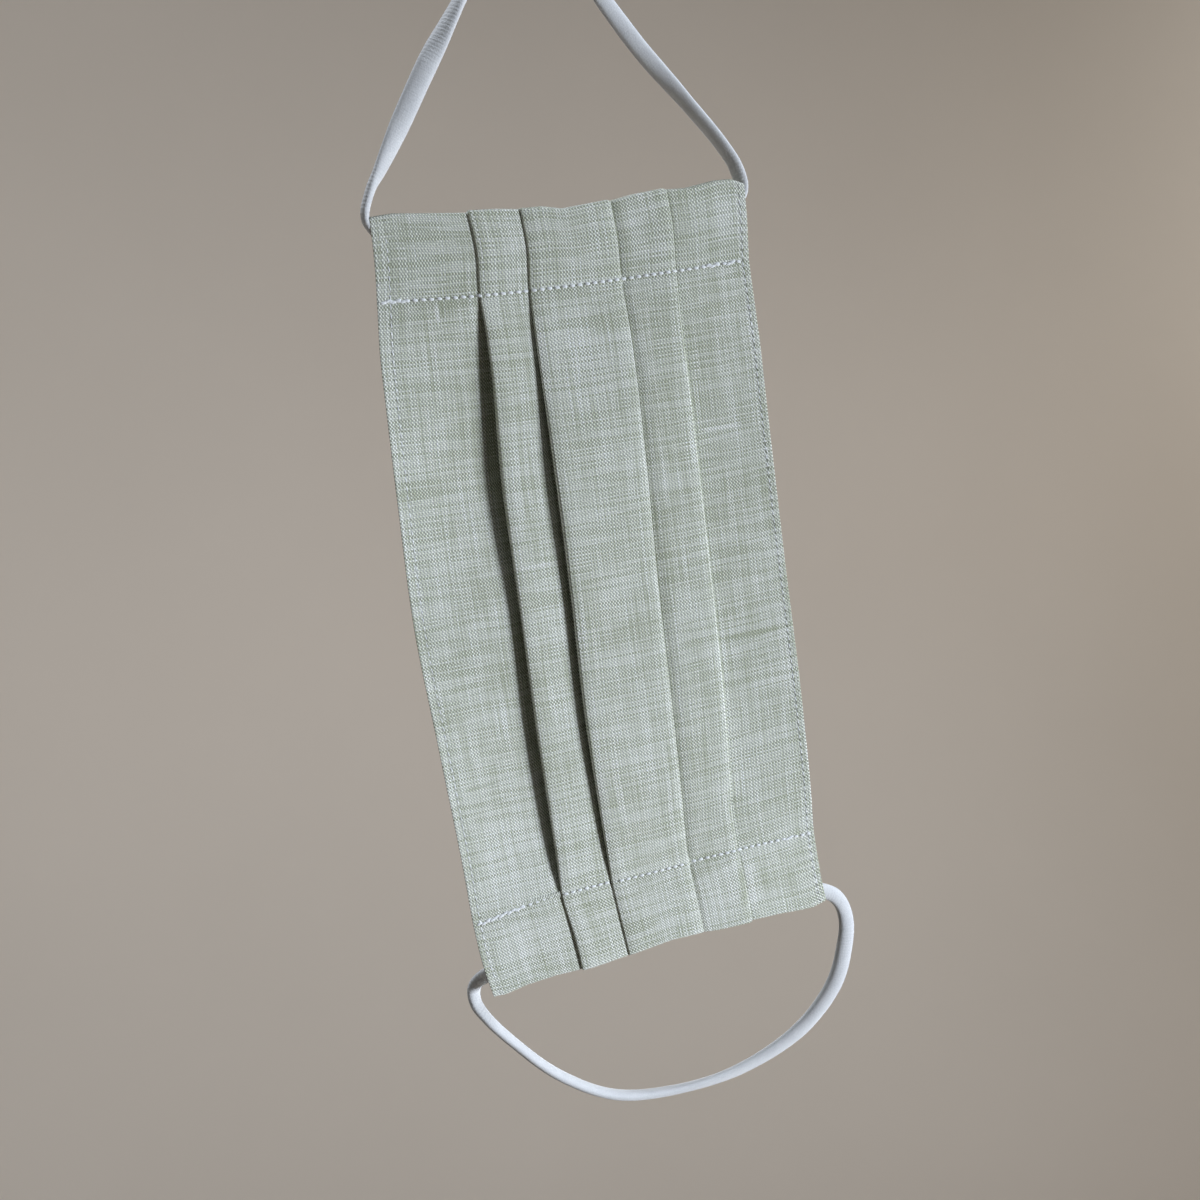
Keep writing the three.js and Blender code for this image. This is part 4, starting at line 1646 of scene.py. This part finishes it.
@dataclass
class EarLoop:
    """One closed ear loop of soft oval elastic, threaded through the casing of one end.

    Where it is squeezed to a share of its width, its thickness falls to that share to the power
    squeeze. The panel's twist carries it along at the end edge, and no more at free_after outside
    it. mouth_row is the row of its route at the tunnel's right mouth.
    """

    end: End
    panel: PleatedPanel
    width: float = 0.005
    thickness: float = 0.0027
    squeeze: float = 0.6
    length: float = 0.2695
    free_after: float = 0.03
    rib: float = 0.0009
    rib_height: float = 0.00002
    steps: int = 1200
    mouth_row: int = 3
    sides: int = 26

    @property
    def name(self) -> str:
        """The piece's name."""
        return "upper_elastic" if self.end is End.TOP else "lower_elastic"

    @property
    def node(self) -> str:
        """The solid that the piece stands for."""
        return "upper_ear_loop" if self.end is End.TOP else "lower_ear_loop"

    def route(self) -> tuple[Array, Array, Array]:
        """Lists the points that the loop goes through: places, twists in degrees and widths."""
        x, back, away, twist, width = np.array(UPPER_ROUTE if self.end is End.TOP else LOWER_ROUTE).T
        drop = 0.0 if self.end is End.TOP else self.panel.length
        outwards = 1.0 if self.end is End.TOP else -1.0
        held = 1.0 - ease(away, 0.0, self.free_after)
        y = back + held * self.panel.twisted(x, drop)
        z = -self.panel.hang_drop - drop + outwards * away
        return np.stack([x, y, z], axis=-1), twist, width

    def centre_line(self) -> tuple[Array, Array, Array]:
        """Follows the route on a closed smooth curve, starting at the tunnel's right mouth.

        Between two points the curve is a cubic, whose slopes follow the neighbouring points with
        spacing by the square root of their distance.

        Returns:
            Places, twist in radians and width.
        """
        points, twists, widths = self.route()
        count = len(points)
        at = (np.arange(self.steps) * count / self.steps + self.mouth_row) % count
        row = at.astype(int)
        t = (at - row)[:, None]
        p0, p1, p2, p3 = (points[(row + shift) % count] for shift in (-1, 0, 1, 2))
        gap0, gap1, gap2 = (
            np.sqrt(np.linalg.norm(b - a, axis=1, keepdims=True)) for a, b in ((p0, p1), (p1, p2), (p2, p3))
        )
        slope1 = gap1 * ((p1 - p0) / gap0 - (p2 - p0) / (gap0 + gap1) + (p2 - p1) / gap1)
        slope2 = gap1 * ((p2 - p1) / gap1 - (p3 - p1) / (gap1 + gap2) + (p3 - p2) / gap2)
        line = cubic(t, p1, p2, slope1, slope2)
        ends = np.arange(count + 1)
        twist = np.interp(at, ends, np.append(twists, twists[-1]))
        twist = twist + twists[-1] * (at < self.mouth_row)
        width = np.interp(at, ends, np.append(widths, widths[-1]))
        return line, np.radians(twist), width

    def build(self, finish: bpy.types.Material) -> bpy.types.Object:
        """Builds the loop as an oval carried round its centre line, with a fine rib across it.

        At each step the flat of the oval is the direction across the loop, in its own plane,
        turned by the twist. The oval is swollen by a wave along the elastic. Where the ring
        closes, the last oval is joined to the first by the half turns that the twist has made.

        Args:
            finish: the elastic.

        Returns:
            The piece, which stands for the loop's solid.
        """
        line, twist, width = self.centre_line()
        along = unit(np.roll(line, -1, axis=0) - np.roll(line, 1, axis=0))
        sideways = unit(np.cross(along, np.array([0.0, 1.0, 0.0])))
        normal = unit(np.cross(sideways, along))
        flat = np.cos(twist)[:, None] * sideways + np.sin(twist)[:, None] * normal
        thin = np.cross(along, flat)
        steps = np.linalg.norm(np.roll(line, -1, axis=0) - line, axis=1)
        run = np.concatenate([[0.0], np.cumsum(steps)])
        ribs = max(1, round(run[-1] / self.rib))
        swell = self.rib_height * np.cos(2.0 * math.pi * ribs * run[:-1] / run[-1])
        turn = np.linspace(0.0, 2.0 * math.pi, self.sides, endpoint=False)
        wide = (0.5 * width + swell)[:, None] * np.cos(turn)
        thick = self.thickness * (width / self.width) ** self.squeeze
        high = (0.5 * thick + swell)[:, None] * np.sin(turn)
        points = line[:, None] + flat[:, None] * wide[..., None] + thin[:, None] * high[..., None]
        corners = grid_corners(self.steps, self.sides, ring_rows=True, ring_columns=True)
        _, twists, _ = self.route()
        turned = round(twists[-1] / 180.0) * self.sides // 2
        column = corners.column + turned * (corners.row // self.steps)
        quads = (corners.row % self.steps) * self.sides + column % self.sides
        girth = math.pi * (self.width + self.thickness) / 2.0
        maps = np.stack([run[corners.row], corners.column * girth / self.sides], axis=-1)
        piece = make_piece(self.name, points.reshape(-1, 3), quads, maps, finish)
        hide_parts(self.node)
        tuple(line[0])
        return piece


@dataclass(frozen=True)
class PhotoCamera:
    """The camera: to the left of the mask, above its middle, and rolled a little."""

    place: tuple[float, float, float] = (-0.1096, -0.3274, -0.0921)
    azimuth: float = -18.06
    elevation: float = 10.97
    roll: float = -7.48
    lens: float = 42.0
    sensor: float = 36.0
    nearest: float = 0.01

    def build(self) -> bpy.types.Object:
        """Builds the camera, makes it the scene's and returns it."""
        turn, rise, roll = (math.radians(angle) for angle in (self.azimuth, self.elevation, self.roll))
        back = Vector(
            (math.sin(turn) * math.cos(rise), -math.cos(turn) * math.cos(rise), math.sin(rise))
        )
        right = Vector((math.cos(turn), math.sin(turn), 0.0))
        up = back.cross(right)
        rolled_right = right * math.cos(roll) + up * math.sin(roll)
        rolled_up = up * math.cos(roll) - right * math.sin(roll)
        data = bpy.data.cameras.new("photo_camera")
        data.lens = self.lens
        data.sensor_width = self.sensor
        data.clip_start = self.nearest
        camera = bpy.data.objects.new("photo_camera", data)
        turned = Matrix((rolled_right, rolled_up, back)).transposed().to_4x4()
        camera.matrix_world = Matrix.Translation(self.place) @ turned
        bpy.context.scene.collection.objects.link(camera)
        bpy.context.scene.camera = camera
        return camera


class SoftLight(NamedTuple):
    """One soft box: its place, the place it is turned to, its width, power, spread and colour.

    spread is in degrees and is narrowed by a grid, so that a box is brightest where it is turned.
    """

    name: str
    place: tuple[float, float, float]
    target: tuple[float, float, float]
    width: float
    power: float
    spread: float
    tint: tuple[float, float, float]


MIDDLE = (0.0, 0.0, -0.157)
COOL = (0.79, 0.875, 1.0)
NEUTRAL = (0.95, 0.98, 1.0)
LIGHTS = (
    SoftLight("key_soft_box", (1.38, -1.0, -0.5), (0.0, 0.0, -0.6), 0.5, 13.25, 100.0, COOL),
    SoftLight("fill_soft_box", (-0.75, -0.85, 0.05), MIDDLE, 0.9, 0.05, 180.0, NEUTRAL),
    SoftLight("top_soft_box", (0.05, 0.05, 0.9), MIDDLE, 0.4, 0.65, 40.0, COOL),
    SoftLight("back_soft_box", (0.30, 0.90, -0.33), MIDDLE, 0.5, 0.8, 50.0, NEUTRAL),
    SoftLight("right_wall_box", (1.9, 0.1, 0.05), (1.35, 1.2, -0.3), 0.8, 5.2, 130.0, NEUTRAL),
    SoftLight("left_wall_box", (-1.3, 0.0, 0.7), (-0.1, 1.2, -0.2), 0.8, 3.3, 130.0, NEUTRAL),
)


@dataclass
class Studio:
    """A pale paper sweep under and behind the mask, and soft boxes.

    surround is the strength of the light from all round, and haze what is added where it is seen.
    """

    floor: float = -1.0
    front: float = -2.5
    wall: float = 1.2
    bend: float = 0.6
    height: float = 2.6
    half_width: float = 3.0
    bend_points: int = 24
    columns: int = 9
    air: Colour = srgb(232, 230, 228)
    surround: float = 0.006
    haze: float = 0.4

    def build(self, finish: bpy.types.Material) -> None:
        """Builds the sweep and the lights.

        The sweep's profile runs back along the floor, up a quarter circle and up the wall, and is
        carried sideways. Past it the surround is dim, but pale where it is looked at.

        Args:
            finish: the paper.
        """
        turn = np.linspace(0.0, math.pi / 2.0, self.bend_points)
        back = np.concatenate(
            [[self.front], self.wall - self.bend + self.bend * np.sin(turn), [self.wall]]
        )
        up = np.concatenate(
            [[self.floor], self.floor + self.bend * (1.0 - np.cos(turn)), [self.floor + self.height]]
        )
        aside = np.linspace(-self.half_width, self.half_width, self.columns)
        points = np.stack(np.broadcast_arrays(aside[None, :], back[:, None], up[:, None]), axis=-1)
        corners = grid_corners(len(back), len(aside))
        quads = corners.row * len(aside) + corners.column
        mesh = bpy.data.meshes.new("paper_sweep")
        mesh.from_pydata(points.reshape(-1, 3).tolist(), [], quads[:, ::-1].tolist())
        mesh.polygons.foreach_set("use_smooth", np.ones(len(quads), bool))
        mesh.materials.append(finish)
        sweep = bpy.data.objects.new("paper_sweep", mesh)
        bpy.context.scene.collection.objects.link(sweep)
        for light in LIGHTS:
            self.hang_light(light)
        world = bpy.data.worlds.new("studio")
        world.use_nodes = True
        surround = world.node_tree.nodes["Background"].inputs
        surround["Color"].default_value = self.air
        nodes = Nodes(world.node_tree)
        seen = nodes.add("ShaderNodeLightPath").outputs["Is Camera Ray"]
        strength = nodes.math("MULTIPLY_ADD", seen, self.haze, self.surround)
        world.node_tree.links.new(strength, surround["Strength"])
        bpy.context.scene.world = world
        bpy.context.scene.view_settings.view_transform = "Standard"

    def hang_light(self, light: SoftLight) -> None:
        """Hangs one soft box, turned to its target."""
        data = bpy.data.lights.new(light.name, "AREA")
        data.shape = "SQUARE"
        data.size = light.width
        data.energy = light.power
        data.spread = math.radians(light.spread)
        data.color = light.tint
        lamp = bpy.data.objects.new(light.name, data)
        lamp.location = light.place
        lamp.visible_camera = False
        aim = Vector(light.target) - Vector(light.place)
        lamp.rotation_euler = aim.to_track_quat("-Z", "Y").to_euler()
        bpy.context.scene.collection.objects.link(lamp)


def main() -> None:
    """Builds the camera, the loops, the panel with its sewing, and the studio."""
    logging.basicConfig(level=logging.INFO, format="%(name)s %(message)s")
    PhotoCamera().build()
    weave, mottle, twist = PlainWeave().group(), mottle_group(), twist_group()
    linen = LinenFinish().material(weave, mottle)
    elastic = ElasticFinish().material(mottle)
    thread = ThreadFinish().material(twist, mottle)
    panel = PleatedPanel()
    for end in End:
        EarLoop(end, panel).build(elastic)
    cloth = panel.build(linen)
    sewing = [
        CasingSeam().build(panel, thread),
        EdgeStitching().build(panel, thread),
    ]
    Studio().build(StudioFinish().material(mottle))


if __name__ == "__main__":
    main()
